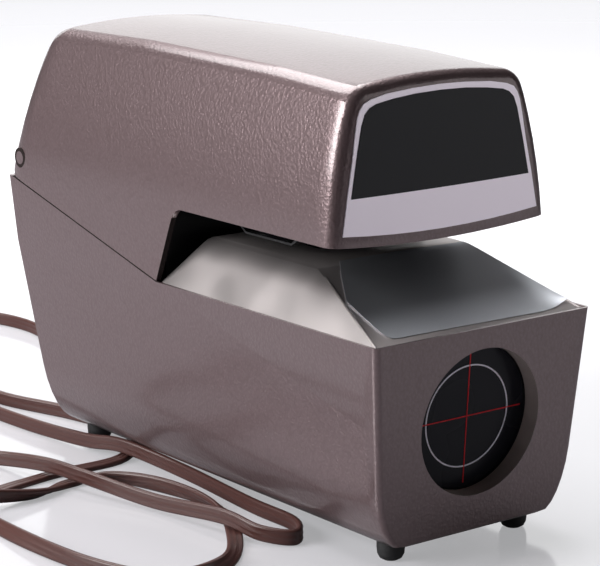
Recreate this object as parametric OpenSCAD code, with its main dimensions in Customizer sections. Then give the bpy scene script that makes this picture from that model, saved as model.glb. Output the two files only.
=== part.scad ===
// Date and time stamp machine: a cast base and hinged cover round a C-shaped frame.
// The paper goes in over a stainless deck. A solenoid swings a rubber platen up through
// the deck and presses the paper and the ribbon against five type wheels in the head.
// The frame of the model: X to the right, Y to the back, Z up, origin under the middle.

/* [Case] */
// Width of the case at its widest
case_w = 127; // [118:1:138]
// Depth of the base along its top edges
case_d = 308; // [300:1:324]
// Height of the rubber feet
foot_h = 9.5; // [8:0.5:13]
// Height of the base from its underside to its rim
rim_h = 96.5; // [94:0.5:104]
// Height of the back edge of the base above its rim
back_rise = 33.5; // [30:0.5:37]
// Height of the paper throat from the rim to the cover
throat_h = 38.7; // [37:0.1:43]
// Depth of the paper throat along the rim
throat_d = 168.8; // [166:0.2:174]
// Height of the cover from its lower edge to its crest
cover_h = 77.3; // [76:0.1:84]
// Thickness of the cast walls
wall = 3; // [2.5:0.1:3.4]
// Gap between the cover and the base
seam_gap = 0.5; // [0.4:0.1:1]

/* [Window] */
// Diameter of the round window in the front
window_d = 69.6; // [60:0.2:72]
// Height of the window's centre above the underside
window_h = 52; // [48:0.5:55]
// Depth of the indicator disc behind the front face
disc_depth = 9.8; // [7:0.2:11]

/* [Deck] */
// Height of the deck's plateau above the rim
deck_rise = 23; // [21:0.5:24]
// Width of the plateau
plateau_w = 88; // [80:1:96]
// Thickness of the stainless sheet
sheet_t = 1; // [0.8:0.1:1.2]
// Width of the platen's opening
slot_w = 42; // [40:0.5:46]

/* [Head] */
// Radius of the type wheels without their type
wheel_r = 19.4; // [17:0.1:19.6]
// Width of one type wheel
wheel_w = 7; // [6:0.1:7.2]
// Height of the raised type
type_h = 0.9; // [0.5:0.1:1.1]
// Radius of the axle of the type wheels
axle_r = 3; // [2:0.1:4]
// Radius of the ribbon spools
spool_r = 13.5; // [10:0.1:13.8]
// Width of the ribbon
ribbon_w = 13; // [10:0.5:13]
// Teeth of the minute gear
minute_teeth = 48; // [44:1:50]
// Teeth of the idler gear
idler_teeth = 60; // [56:1:62]
// Teeth of the motor's pinion
pinion_teeth = 12; // [12:1:16]
// Module of the gears
gear_m = 0.8; // [0.75:0.01:0.82]
// Radius of the clock motor
motor_r = 21; // [16:0.5:22]

/* [Mechanism] */
// Distance between the middles of the two side plates
frame_gap = 44; // [43.4:0.1:45]
// Thickness of the side plates
plate_t = 2.5; // [2:0.1:2.7]
// Radius of the tie rods
rod_r = 4; // [3:0.1:5]
// Swing of the platen arm in degrees
strike_deg = 9; // [6:0.5:9]
// Radius of the solenoid's plunger
plunger_r = 5; // [4:0.1:5.5]
// Running clearance round a shaft
fit = 0.05; // [0.03:0.01:0.09]
// Radius of the cover's hinge pins
pin_r = 3.4; // [2:0.1:3.6]

/* [Cord] */
// Width of the flat three-wire cord
cord_w = 7.8; // [7:0.1:8.2]
// Thickness of the flat cord
cord_t = 2.9; // [2.5:0.1:3.2]

/* [Hidden] */

eps = 0.01;
slice_t = 0.1;
big = 400;

// Heights
under_z = foot_h;
rim_z = under_z + rim_h;
back_z = rim_z + back_rise;
deck_z = rim_z + deck_rise;
head_z = rim_z + throat_h;
crest_z = head_z + cover_h;
window_z = under_z + window_h;

// The base: its front and back lean, and its sides draw in towards the underside
front_y = -case_d / 2;
back_y = case_d / 2;
half_w = case_w / 2;
front_draft = 0.077;
side_draft = 0.085;
back_draft = 0.189;
front_lean = atan(front_draft);
back_lean = atan(back_draft);
corner_x = 12.5;
corner_z = 30;
edge_r = 3;
floor_t = 4;
floor_z = under_z + floor_t;
ledge = 1.3;
rim_w = 1.5;
function base_front(z) = front_y + front_draft * (rim_z - z);
function base_back(z) = back_y - back_draft * (back_z - z);
function base_side(z) = half_w - side_draft * max(0, rim_z - z);

// The seam runs back along the rim and then climbs to the back edge
throat_y = front_y + throat_d;
seam_end_y = back_y - 4.8;
seam_slope = back_rise / (seam_end_y - throat_y);

// The cover
lip = 31.2;
cover_front = front_y + lip;
cover_front_r = 5;
cover_lean = 0.034;
cover_back = back_y - 4.6;
cover_back_draft = 0.29;
cover_back_z = head_z + 7.3;
cover_back_r = 11;
cover_side_r = 5;
cover_draft = 0.055;
cover_bow = 0.0022;
crown = 0.0015;
shoulder_r = 12;
front_drop = 5;
lip_sag = 3.2;
notch_r = 10;
notch_run = 16.4;
function cover_half(z) = half_w + 0.2 - cover_draft * max(0, z - head_z)
    - cover_bow * pow(max(0, z - head_z), 2);

// The hinge
hinge_y = back_y - 13;
hinge_z = back_z + 10.5;
bush_r = 5.2;
neck_r = 2;
ear_in = half_w - wall - 3.5;
ear_out = half_w - wall - 1.2;
heel_r = 11.6;
heel_mid_r = 13.9;
heel_x = half_w - 8;

// The side plates of the frame
plate_in = frame_gap / 2 - plate_t / 2;
plate_out = frame_gap / 2 + plate_t / 2;
frame_back = back_y - 46;
tab_l = 16;
neck_y = throat_y + 2.4;
head_low = head_z + 2.8;

// The type wheels and the printing line
axle_y = front_y + 109;
axle_z = head_z + 12.3;
type_z = axle_z - wheel_r - type_h;
wheel_step = wheel_w + 0.4;
guard_t = 1;
guard_z = type_z - 3.2;
guard_half = 40;
guard_flat = 18;
guard_run = 39;
ribbon_t = 0.3;
ribbon_z = type_z - 1.1;
roller_r = 2.5;
roller_x = 33;
roller_z = ribbon_z + ribbon_t + roller_r + 0.05;

// The gear train outside the right side plate
gear_w = 3.5;
gear_x = plate_out + 0.8;
sleeve_r = 5.5;
train_deg = 20;
pinion_deg = -5;
function pitch_r(teeth) = teeth * gear_m / 2;
idler_y = axle_y + (pitch_r(minute_teeth) + pitch_r(idler_teeth)) * cos(train_deg);
idler_z = axle_z + (pitch_r(minute_teeth) + pitch_r(idler_teeth)) * sin(train_deg);
motor_y = idler_y + (pitch_r(idler_teeth) + pitch_r(pinion_teeth)) * cos(pinion_deg);
motor_z = idler_z + (pitch_r(idler_teeth) + pitch_r(pinion_teeth)) * sin(pinion_deg);
idler_turn = train_deg + 180 + 180 / idler_teeth;
slip = (idler_turn - pinion_deg) * idler_teeth / pinion_teeth;
pinion_turn = pinion_deg + 180 - slip + 180 / pinion_teeth;
motor_l = 22;
shaft_r = 2;
stud_r = 2.5;

// The ribbon spools hang in front of a bar that lies across the side plates
spool_x = gear_x + gear_w + 1.2 + spool_r;
spool_z = axle_z + 8;
spool_w = ribbon_w + 2;
spool_back = axle_y + spool_w / 2;
core_r = 6;
pack_r = 9;
post_r = 2;
bar_z = axle_z + wheel_r + type_h + 2.7;

// The platen arm, level when it strikes, and its shaft
arm_y = axle_y + 45;
arm_z = deck_z - 31;
arm_r = 4;
arm_reach = 40;
pad_w = 36;
pad_l = 11;
pad_t = 6;
pad_top = type_z - 1.3;

// The solenoid and its plunger
coil_y = arm_y + arm_reach * (1 + cos(strike_deg)) / 2;
link_z = arm_z + arm_reach * sin(strike_deg);
link_r = 1.5;
link_slack = 0.4;
coil_foot = under_z + 24;
coil_top = under_z + 62;
coil_r = 15;
yoke_half = coil_r + 2;
steel_t = 2.5;
spring_foot = coil_top + steel_t;
collar_z = link_z - 12;
spring_r = 6.8;
wire_r = 0.6;
spring_turns = 5;

// The paper trigger and its switch
trigger_x = 14;
trigger_y = axle_y + 31;
trigger_z = deck_z - 21;
trigger_r = 1.5;

// The lock on the right side of the cover
lock_y = throat_y + 55.2;
lock_z = head_z + 15.3;
lock_r = 8;
lock_plug_r = 5;
lock_face = cover_half(lock_z) + 1;
cam_x = lock_face - 12.4;
cam_l = 26;

// The indicator behind the window
disc_t = 1.5;
disc_r = window_d / 2 - 0.6;
collar_w = 2.5;
collar_depth = disc_depth + 3.4;
spindle_r = 2;

// The strain relief on the back
relief_x = 25;
relief_z = under_z + 16.5;
relief_l = 21;
relief_end = [relief_x, base_back(relief_z) + relief_l * cos(back_lean),
    relief_z - relief_l * sin(back_lean)];

// The cord: its route in round numbers, each point with its height and its roll.
// At a roll of 0 the flat cord stands on its edge, and at 90 it lies flat.
stand = 3.95;
over = 7.6;
flat = 1.5;
cord_start = [
    [relief_end[0], relief_end[1], relief_end[2], 0],
    [relief_end[0], relief_end[1] + 12 * cos(back_lean), relief_end[2] - 12 * sin(back_lean), 0]
];
cord_route = [
    [29, 215, 6, 0], [43, 280, stand, 0], [54, 340, stand, 0], [38, 386, stand, 0],
    [-10, 402, stand, 0], [-54, 370, stand, 0], [-68, 305, stand, 0], [-64, 225, stand, 0],
    [-60, 150, stand, 0], [-54, 100, 5, 0], [-49, 70, over, 0], [-43, 22, stand, 0],
    [-48, -40, stand, 0], [-49, -76, stand, 0], [-60, -91, stand, 0], [-71, -78, 5, 0],
    [-75, -54, over, 0], [-83, -8, 5, 0], [-93, 40, over, 0], [-98, 70, over, 0],
    [-108, 108, stand, 0], [-130, 134, stand, 0], [-162, 122, stand, 0], [-172, 80, 5, 0],
    [-155, 48, over, 0], [-120, 42, 3, 45], [-94, 50, flat, 90], [-76, 44, 3, 45],
    [-64, 12, stand, 0], [-60, -28, 3, 45], [-74, -62, flat, 90], [-104, -98, 3.5, 30],
    [-138, -100, stand, 0], [-155, -62, stand, 0], [-158, 5, 3, 45], [-148, 52, flat, 90],
    [-98, 67, flat, 90], [-50, 70, flat, 90], [-24, 104, 3.5, 30], [-30, 150, stand, 0],
    [-45, 205, stand, 0], [-46, 240, 10, 0], [-46, 256, 11, 0]
];
cord_end = cord_route[len(cord_route) - 1];
cord_sides = 12;
plug_l = 34;
plug_w = 25;
plug_h = 21;

// Places a drawing of the side view across the case, and bars along X and Y
module across(x0, x1) {
    translate([x0, 0, 0])
        rotate([90, 0, 90])
            linear_extrude(x1 - x0)
                children();
}

module lengthwise(y0, y1) {
    translate([0, y1, 0])
        rotate([90, 0, 0])
            linear_extrude(y1 - y0)
                children();
}

module rod_x(x0, x1, y, z, r, sides = 32) {
    translate([x0, y, z])
        rotate([0, 90, 0])
            cylinder(r = r, h = x1 - x0, $fn = sides);
}

module rod_y(y0, y1, x, z, r, sides = 32) {
    translate([x, y0, z])
        rotate([-90, 0, 0])
            cylinder(r = r, h = y1 - y0, $fn = sides);
}

module slab(x, y, z) {
    translate([x[0], y[0], z[0]])
        cube([x[1] - x[0], y[1] - y[0], z[1] - z[0]]);
}

module both_sides() {
    children();
    mirror([1, 0, 0])
        children();
}

// Places that lean with a wall: the front of the base, its back, the front of the cover
module on_front(z) {
    translate([0, base_front(z), z])
        rotate([front_lean, 0, 0])
            children();
}

module on_back(x, z) {
    translate([x, base_back(z), z])
        rotate([-back_lean, 0, 0])
            children();
}

module on_cover_front() {
    translate([0, cover_front, head_z])
        rotate([-atan(cover_lean), 0, 0])
            children();
}

// A wheel's outline with raised bars or teeth, angles counted in steps of the pitch
function cog(count, root, tip, root_share, tip_share) = [
    for (i = [0 : count - 1], c = [[root, -root_share], [tip, -tip_share], [tip, tip_share], [root, root_share]])
        let (a = (i + c[1]) * 360 / count)
        c[0] * [cos(a), sin(a)]
];

// A tube with a given section along a path; each point carries its roll
function unit(v) = v / norm(v);
function spot(p) = [p[0], p[1], p[2]];
function heading(path, i) = unit(spot(path[min(i + 1, len(path) - 1)]) - spot(path[max(i - 1, 0)]));
function ring(path, i, section) =
    let (
        t = heading(path, i),
        side = unit(cross(t, [0, 0, 1])),
        up = cross(side, t),
        c = cos(path[i][3]),
        s = sin(path[i][3])
    )
    [for (q = section) spot(path[i]) + q[0] * (up * c + side * s) + q[1] * (side * c - up * s)];

module tube(path, section) {
    n = len(section);
    last = len(path) - 1;
    points = [for (i = [0 : last], p = ring(path, i, section)) p];
    walls = [
        for (i = [0 : last - 1], j = [0 : n - 1])
            let (a = i * n + j, b = i * n + (j + 1) % n)
            each [[a, b, b + n], [a, b + n, a + n]]
    ];
    ends = [[for (j = [n - 1 : -1 : 0]) j], [for (j = [0 : n - 1]) last * n + j]];
    polyhedron(points = points, faces = concat(walls, ends), convexity = 10);
}

function blend(a, b, c, d, t) = 0.5 * (2 * b + (c - a) * t
    + (2 * a - 5 * b + 4 * c - d) * t * t + (3 * b - a - 3 * c + d) * t * t * t);
function smooth(route, steps) = [
    for (i = [0 : len(route) - 2], s = [0 : steps - 1])
        blend(route[max(i - 1, 0)], route[i], route[i + 1], route[min(i + 2, len(route) - 1)], s / steps),
    route[len(route) - 1]
];

// The outer form of the base, or its hollow with the walls taken off
module base_slice(z, half, inset) {
    low = base_front(min(z, rim_z)) + inset;
    high = base_back(z) - inset;
    translate([0, (low + high) / 2, z])
        linear_extrude(eps)
            offset(r = edge_r, $fn = 20)
                square([2 * (half - inset - edge_r), high - low - 2 * edge_r], center = true);
}

module base_form(inset, rise) {
    hull() {
        for (a = [0 : 15 : 90]) {
            z = under_z + corner_z * (1 - cos(a));
            base_slice(max(z, under_z + rise), base_side(z) - corner_x * (1 - sin(a)),
                inset + (a == 0 ? 1.2 : 0));
        }
        base_slice(rim_z, base_side(rim_z), inset);
        base_slice(back_z + 5, base_side(back_z), inset);
    }
}

// The side view of the base: everything under the seam
module seam_view() {
    polygon([
        [-big, -big], [-big, rim_z], [throat_y, rim_z],
        [seam_end_y, back_z], [big, back_z], [big, -big]
    ]);
}

screw_x = 18.2;
screw_front = front_y + 40;
screw_back = back_y - 50;

module screw_places() {
    for (x = [-screw_x, screw_x], y = [screw_front, screw_back])
        translate([x, y, 0])
            children();
}

module base_case() {
    color([0.42, 0.37, 0.36])
    difference() {
        union() {
            difference() {
                intersection() {
                    base_form(0, 0);
                    across(-big, big)
                        seam_view();
                }
                base_form(wall, floor_t);
            }
            // the tunnel of the round window
            intersection() {
                on_front(window_z)
                    rod_y(wall / 2, collar_depth, 0, 0, window_d / 2 + collar_w, 64);
                base_form(wall / 2, 0);
            }
        }
        on_front(window_z)
            rod_y(-20, collar_depth + 20, 0, 0, window_d / 2, 96);
        // the rebate for the edge of the deck
        slab([rim_w - half_w, half_w - rim_w], [front_y + rim_w, throat_y],
            [rim_z - ledge, rim_z + 1]);
        // the opening in the floor, the rebate for its plate and the holes for its screws
        slab([-14, 14], [screw_front + 6, screw_back - 6], [0, under_z + floor_t + 1]);
        slab([-22.2, 22.2], [screw_front - 6.2, screw_back + 6.2], [0, under_z + 2]);
        screw_places()
            cylinder(r = 1.6, h = 30, $fn = 24);
        frame_screw_places()
            translate([0, 0, 5])
                cylinder(r = 2, h = 30, $fn = 24);
        on_back(relief_x, relief_z)
            rod_y(-10, 10, 0, 0, 6.5);
    }
}

module bottom_plate() {
    color([0.6, 0.6, 0.62])
    difference() {
        slab([-22, 22], [screw_front - 6, screw_back + 6], [under_z, under_z + 2]);
        screw_places()
            translate([0, 0, under_z - 1]) {
                cylinder(r = 1.61, h = 4, $fn = 24);
                cylinder(r1 = 4.12, r2 = 1.62, h = 2.5, $fn = 24);
            }
    }
}

module case_screws() {
    color([0.75, 0.75, 0.75])
    screw_places()
        translate([0, 0, under_z]) {
            cylinder(r1 = 3.1, r2 = 1.6, h = 1.5, $fn = 24);
            cylinder(r = 1.6, h = floor_t, $fn = 24);
        }
}

foot_x = 37;
foot_r = 6.5;

module rubber_feet() {
    color([0.12, 0.12, 0.12])
    for (x = [-foot_x, foot_x], y = [front_y + 22, back_y - 42])
        translate([x, y, 0])
            rotate_extrude($fn = 32)
                polygon([
                    [0, 0], [3.6, 0], [5.2, foot_h * 0.1], [6.2, foot_h * 0.3],
                    [foot_r, foot_h * 0.6], [foot_r, foot_h], [0, foot_h]
                ]);
}

// The stainless deck: a low hip with four slopes and a flat top, folded softly
front_run = 66;
back_run = 18;
deck_foot = rim_z - ledge;
deck_front = front_y + rim_w + 0.2;
slope_share = [0.86, 0.86];

module deck_form(drop) {
    rise = deck_z - deck_foot;
    side_run = half_w - rim_w - 0.2 - plateau_w / 2;
    hull()
        for (s = [[0, 0], slope_share, [0.95, 0.94], [1.04, 0.985], [1.14, 1]]) {
            half = half_w - rim_w - 0.2 - side_run * s[0];
            top = deck_foot + rise * s[1] - drop;
            slab([-half, half], [deck_front + front_run * s[0], throat_y - 0.3 - back_run * s[0]],
                [top - eps, top]);
        }
}

module deck_plate() {
    color([0.72, 0.7, 0.69])
    difference() {
        deck_form(0);
        deck_form(sheet_t);
        slab([-slot_w / 2, slot_w / 2], [axle_y - 14, axle_y + 10], [deck_z - 6, deck_z + 6]);
        slab([trigger_x - 2.5, trigger_x + 2.5], [trigger_y - 6, trigger_y + 8],
            [deck_z - 12, deck_z + 6]);
    }
}

// The bare foil label on the front slope, lifted and curled at one corner
module foil_label() {
    tilt = atan((deck_z - deck_foot) * slope_share[1] / (front_run * slope_share[0]));
    color([0.8, 0.8, 0.8])
    translate([0, deck_front, deck_foot + 0.03])
        rotate([tilt, 0, 0])
            linear_extrude(0.3)
                polygon([
                    [-51, 4], [-18, 2.5], [40, 2.5], [55, 6], [54, 15], [53, 30],
                    [48, 45], [-36, 58], [-50, 40]
                ]);
}

// The cover: leaning sections of its front view, hulled from front to back
module cover_section(inset, top) {
    side = [for (h = [-60, 0, 12, 24, 36, 48, 57]) [cover_half(head_z + h), head_z + h]];
    roof = [for (x = [49, 40, 30, 20, 10, 0]) [x, top - crown * x * x]];
    half = concat(side, roof);
    offset(r = shoulder_r - inset, $fn = 32)
        offset(delta = -shoulder_r)
            polygon(concat(half, [for (i = [len(half) - 2 : -1 : 0]) [-half[i][0], half[i][1]]]));
}

module cover_slice(y, slope, z0, inset, top) {
    multmatrix([[1, 0, 0, 0], [0, 1, slope, y - slope * z0], [0, 0, 1, 0], [0, 0, 0, 1]])
        lengthwise(0, slice_t)
            cover_section(inset, top);
}

module cover_form(inset) {
    hull() {
        for (a = [0, 30, 60, 90])
            cover_slice(cover_front + inset + cover_front_r * (1 - cos(a)), cover_lean, head_z,
                inset + cover_front_r * (1 - sin(a)), crest_z - front_drop);
        cover_slice(-60, 0, 0, inset, crest_z - 2);
        cover_slice(45, 0, 0, inset, crest_z);
        for (a = [0, 30, 60, 90])
            cover_slice(cover_back - inset - cover_back_r * (1 - cos(a)), -cover_back_draft,
                cover_back_z, inset + cover_side_r * (1 - sin(a)),
                crest_z - 1 - (cover_back_r - cover_side_r) * (1 - sin(a)));
    }
}

// The side view of what the cover leaves open: the throat and the seam
module throat_view() {
    offset(r = notch_r, $fn = 60)
        offset(delta = -notch_r)
            polygon([
                [-big, -big], [-big, head_z], [throat_y - notch_run, head_z],
                [throat_y, rim_z + seam_gap], [throat_y + 1, rim_z + seam_gap],
                [seam_end_y, back_z + seam_gap], [big, back_z + seam_gap], [big, -big]
            ]);
}

module cover_open_view() {
    difference() {
        throat_view();
        polygon([
            [-big, head_z - 8], [-big, head_z + 1],
            [cover_front + wall + 2, head_z + 1], [cover_front + wall + 2, head_z - 8]
        ]);
    }
}

// The heel behind the hinge is round, so that it clears the base as the cover opens
module heel_view(r) {
    difference() {
        polygon([[hinge_y, hinge_z - 1], [hinge_y, -big], [big, -big], [big, hinge_z - 1]]);
        translate([hinge_y, hinge_z])
            circle(r = r, $fn = 72);
    }
}

module lip_view() {
    difference() {
        polygon([[-big, -big], [-big, head_z], [big, head_z], [big, -big]]);
        translate([0, head_z - lip_sag + 10 * half_w])
            circle(r = 10 * half_w, $fn = 360);
    }
}

module cover() {
    color([0.42, 0.37, 0.36])
    difference() {
        cover_form(0);
        cover_form(wall);
        across(-big, big)
            cover_open_view();
        across(-heel_x - eps, heel_x + eps)
            heel_view(heel_mid_r);
        both_sides()
            across(heel_x, big)
                heel_view(heel_r);
        lengthwise(cover_front - 20, cover_front + wall + 2 + eps)
            lip_view();
        // the bores of the hinge and the slots that let its ears through
        both_sides() {
            rod_x(half_w - 8, half_w + 8, hinge_y, hinge_z, bush_r);
            slab([ear_in - 0.5, ear_out + 0.4], [hinge_y + 1, back_y + 5], [0, hinge_z + 3.4]);
            rod_x(ear_in - 0.5, ear_out + 0.4, hinge_y, hinge_z, bush_r + 0.8);
        }
        rod_x(half_w - 20, half_w + 20, lock_y, lock_z, lock_r);
        rod_x(cover_half(lock_z) - 0.9, half_w + 20, lock_y, lock_z, lock_r + 1.5);
    }
}

// The name plate on the front of the cover, with its dark panel; both are bare
module plate_outline(points, sag) {
    low = points[0][1];
    foot = [for (x = [-1 : 0.25 : 1]) [x * points[0][0], low - sag * (1 - x * x)]];
    side = [for (i = [1 : len(points) - 1]) points[i]];
    other = [for (i = [len(side) - 2 : -1 : 0]) [-side[i][0], side[i][1]]];
    polygon(concat(foot, side, other));
}

module front_plate() {
    color([0.66, 0.62, 0.66])
    on_cover_front()
        lengthwise(-0.8, 0)
            plate_outline([
                [57, 4.6], [54, 21.5], [50.8, 37], [48.7, 49.3], [47.4, 55.5], [46, 59],
                [43.8, 61.8], [39.5, 63.5], [30, 65.2], [15, 66.3], [0, 66.7]
            ], 3);
}

module front_panel() {
    color([0.13, 0.14, 0.17])
    on_cover_front()
        lengthwise(-1.1, -0.8)
            plate_outline([
                [52, 20.7], [48.8, 37], [45.5, 51.8], [43.5, 57], [40.7, 59.7],
                [36.9, 61.2], [27.3, 62.6], [15, 63.7], [0, 64.1]
            ], 0.4);
}

// The hinge: black bushes in the cover, painted pins, and ears fixed to the base
module hinge_bushes() {
    color([0.1, 0.1, 0.1])
    both_sides()
        difference() {
            rod_x(ear_out + 0.5, half_w - 0.2, hinge_y, hinge_z, bush_r);
            rod_x(0, big, hinge_y, hinge_z, pin_r + fit);
        }
}

module hinge_pins() {
    color([0.42, 0.37, 0.36])
    both_sides() {
        rod_x(ear_out, half_w, hinge_y, hinge_z, pin_r);
        rod_x(ear_in - 0.8, ear_out, hinge_y, hinge_z, neck_r);
    }
}

module hinge_bracket() {
    color([0.55, 0.55, 0.57])
    difference() {
        union() {
            both_sides() {
                slab([ear_in, half_w - wall], [hinge_y - 13, hinge_y + 1], [hinge_z - 38, hinge_z - 16]);
                slab([ear_in, ear_out], [hinge_y - 8, hinge_y + 3.8], [hinge_z - 38, hinge_z + 4]);
            }
            rod_x(-ear_in - 1, ear_in + 1, hinge_y - 5, hinge_z - 32, 4);
        }
        rod_x(-big, big, hinge_y, hinge_z, neck_r);
    }
}

// The lock on the right side: a barrel, its turning plug with the cam, and a catch
module lock_barrel() {
    color([0.75, 0.75, 0.76])
    difference() {
        union() {
            rod_x(cam_x + 3.5, lock_face, lock_y, lock_z, lock_r);
            rod_x(cover_half(lock_z) - 0.9, lock_face, lock_y, lock_z, lock_r + 1.5);
        }
        rod_x(-big, big, lock_y, lock_z, lock_plug_r + fit);
    }
}

module lock_cam() {
    color([0.78, 0.76, 0.7])
    difference() {
        union() {
            rod_x(cam_x + 1, lock_face + 0.3, lock_y, lock_z, lock_plug_r);
            slab([cam_x, cam_x + 2.4], [lock_y - 5, lock_y + 5], [lock_z - cam_l, lock_z + 6]);
        }
        slab([lock_face - 3, lock_face + 2], [lock_y - 0.7, lock_y + 0.7], [lock_z - 3, lock_z + 3]);
    }
}

module latch_bracket() {
    color([0.6, 0.6, 0.62])
    union() {
        slab([plate_out, plate_out + 2.5], [lock_y - 30, lock_y - 17], [lock_z - 8, lock_z + 9]);
        slab([plate_out, cam_x + 3.2], [lock_y - 30, lock_y - 17], [lock_z + 6, lock_z + 9]);
    }
}

// The side plates: C-shaped, so that the paper can go in between head and base
rods = [
    [axle_y + 17, under_z + 30], [frame_back - 13, under_z + 22], [frame_back - 13, under_z + 90],
    [arm_y + 54, head_z], [arm_y + 50, head_z + 51], [axle_y - 24, axle_z + 14]
];

module frame_screw_places() {
    for (x = [-plate_out - 5, plate_out + 5], y = [arm_y - 14, frame_back - 20])
        translate([x, y, 0])
            children();
}

module side_plate(side) {
    bore = side > 0 ? sleeve_r + fit : axle_r;
    difference() {
        union() {
            across(plate_in, plate_out)
                difference() {
                    offset(r = 4, $fn = 24)
                        offset(delta = -4)
                            polygon([
                                [axle_y + 8, floor_z], [frame_back, floor_z],
                                [frame_back, rim_z + 4], [arm_y + 63, rim_z + 30],
                                [arm_y + 62, head_z + 58], [arm_y - 18, head_z + 58],
                                [axle_y + 15, bar_z], [axle_y - 32, bar_z],
                                [axle_y - 32, head_low], [neck_y, head_low],
                                [neck_y, rim_z - 4], [arm_y + 11, rim_z - 4],
                                [arm_y - 1, rim_z + 9], [axle_y + 8, rim_z + 9]
                            ]);
                    for (r = rods)
                        translate(r)
                            circle(r = 2, $fn = 24);
                    translate([frame_back - 36, under_z + 56])
                        circle(r = 15, $fn = 40);
                }
            for (y = [arm_y - 22, frame_back - 28])
                slab([plate_in + 0.5, plate_out + 10], [y, y + tab_l], [floor_z, floor_z + 2.5]);
        }
        rod_x(0, big, arm_y, arm_z, arm_r);
        rod_x(0, big, axle_y, axle_z, bore);
        rod_x(0, big, idler_y, idler_z, side > 0 ? stud_r : 0.01);
        rod_x(0, big, motor_y, motor_z, side > 0 ? shaft_r + 1 : 0.01);
        rod_x(0, big, trigger_y, trigger_z, side > 0 ? trigger_r : 0.01, 24);
        frame_screw_places()
            cylinder(r = 2, h = 40, $fn = 24);
    }
}

module side_plate_left() {
    color([0.5, 0.5, 0.52])
    mirror([1, 0, 0])
        side_plate(-1);
}

module side_plate_right() {
    color([0.5, 0.5, 0.52])
    side_plate(1);
}

module tie_rods() {
    color([0.7, 0.7, 0.7])
    for (r = rods) {
        rod_x(-plate_in, plate_in, r[0], r[1], rod_r, 24);
        rod_x(-plate_out - 2, plate_out + 2, r[0], r[1], 2, 24);
        both_sides()
            rod_x(plate_out, plate_out + 2, r[0], r[1], 3.6, 6);
    }
}

module frame_screws() {
    color([0.7, 0.7, 0.7])
    frame_screw_places() {
        translate([0, 0, under_z + 0.6])
            cylinder(r = 2, h = floor_t + 2, $fn = 24);
        translate([0, 0, floor_z + 2.5])
            cylinder(r = 3.6, h = 2.4, $fn = 6);
    }
}

// The sheet under the head that holds the paper off the ribbon, and the sheet behind it
module ribbon_guard() {
    top = guard_z + guard_t;
    flat_z = head_low - guard_t;
    front = cover_front + wall + 3.8;
    color([0.1, 0.1, 0.1])
    difference() {
        across(-guard_half, guard_half)
            polygon([
                [front, flat_z], [axle_y - guard_run, flat_z], [axle_y - guard_flat, guard_z],
                [axle_y + guard_flat, guard_z], [axle_y + guard_run - 2, flat_z], [neck_y - 1, flat_z],
                [neck_y - 1, head_low], [axle_y + guard_run - 2.3, head_low],
                [axle_y + guard_flat - 0.3, top], [axle_y - guard_flat + 0.3, top],
                [axle_y - guard_run + 0.3, head_low], [front, head_low]
            ]);
        slab([-slot_w / 2, slot_w / 2], [axle_y - 11, axle_y + 9], [guard_z - 5, guard_z + 5]);
        // room for the rim of the idler gear
        slab([gear_x - 1, gear_x + gear_w + 1], [idler_y - 7, idler_y + 7], [flat_z - 1, head_low + 1]);
    }
}

module paper_stop() {
    color([0.1, 0.1, 0.1])
    slab([-56.5, 56.5], [neck_y - 1, neck_y], [rim_z + 2, head_low]);
}

// The type wheels on their axle, from the left: month, day, year, hour, minute
module type_axle() {
    color([0.75, 0.75, 0.75])
    union() {
        rod_x(-plate_out, gear_x + gear_w + 0.4, axle_y, axle_z, axle_r);
        rod_x(-plate_out - 1.5, -plate_out, axle_y, axle_z, axle_r + 1.5);
        rod_x(gear_x + gear_w + 0.4, gear_x + gear_w + 1.4, axle_y, axle_z, axle_r + 1.5);
    }
}

module type_wheel(place, count) {
    color([0.72, 0.6, 0.35])
    difference() {
        across(place * wheel_step - wheel_w / 2, place * wheel_step + wheel_w / 2)
            difference() {
                translate([axle_y, axle_z])
                    rotate(-90)
                        polygon(cog(count, wheel_r, wheel_r + type_h, 0.32, 0.26));
                for (a = [30 : 60 : 330])
                    translate([axle_y + 12 * cos(a), axle_z + 12 * sin(a)])
                        circle(r = 3.6, $fn = 16);
            }
        rod_x(-big, big, axle_y, axle_z, axle_r + fit);
    }
}

module month_wheel() {
    type_wheel(-2, 24);
}

module day_wheel() {
    type_wheel(-1, 31);
}

module year_wheel() {
    type_wheel(0, 20);
}

module hour_wheel() {
    type_wheel(1, 24);
}

module minute_wheel() {
    type_wheel(2, 60);
}

// The gears: trapezoid teeth with a little play
module gear(y, z, teeth, turn) {
    across(gear_x, gear_x + gear_w)
        translate([y, z])
            rotate(turn)
                polygon(cog(teeth, pitch_r(teeth) - gear_m, pitch_r(teeth) + 0.8 * gear_m, 0.36, 0.13));
}

module minute_gear() {
    color([0.8, 0.68, 0.4])
    difference() {
        union() {
            gear(axle_y, axle_z, minute_teeth, train_deg);
            rod_x(2 * wheel_step + wheel_w / 2, gear_x + 0.5, axle_y, axle_z, sleeve_r);
        }
        rod_x(-big, big, axle_y, axle_z, axle_r + fit);
    }
}

module idler_gear() {
    color([0.8, 0.68, 0.4])
    difference() {
        gear(idler_y, idler_z, idler_teeth, idler_turn);
        rod_x(-big, big, idler_y, idler_z, stud_r + fit);
    }
}

module idler_stud() {
    color([0.75, 0.75, 0.75])
    union() {
        rod_x(plate_in, gear_x + gear_w + 0.4, idler_y, idler_z, stud_r);
        rod_x(plate_out, gear_x - 0.3, idler_y, idler_z, stud_r + 1.5);
        rod_x(gear_x + gear_w + 0.4, gear_x + gear_w + 1.4, idler_y, idler_z, stud_r + 1.5);
    }
}

module motor_pinion() {
    color([0.8, 0.68, 0.4])
    union() {
        gear(motor_y, motor_z, pinion_teeth, pinion_turn);
        rod_x(plate_in - 8, gear_x + gear_w, motor_y, motor_z, shaft_r);
    }
}

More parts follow.
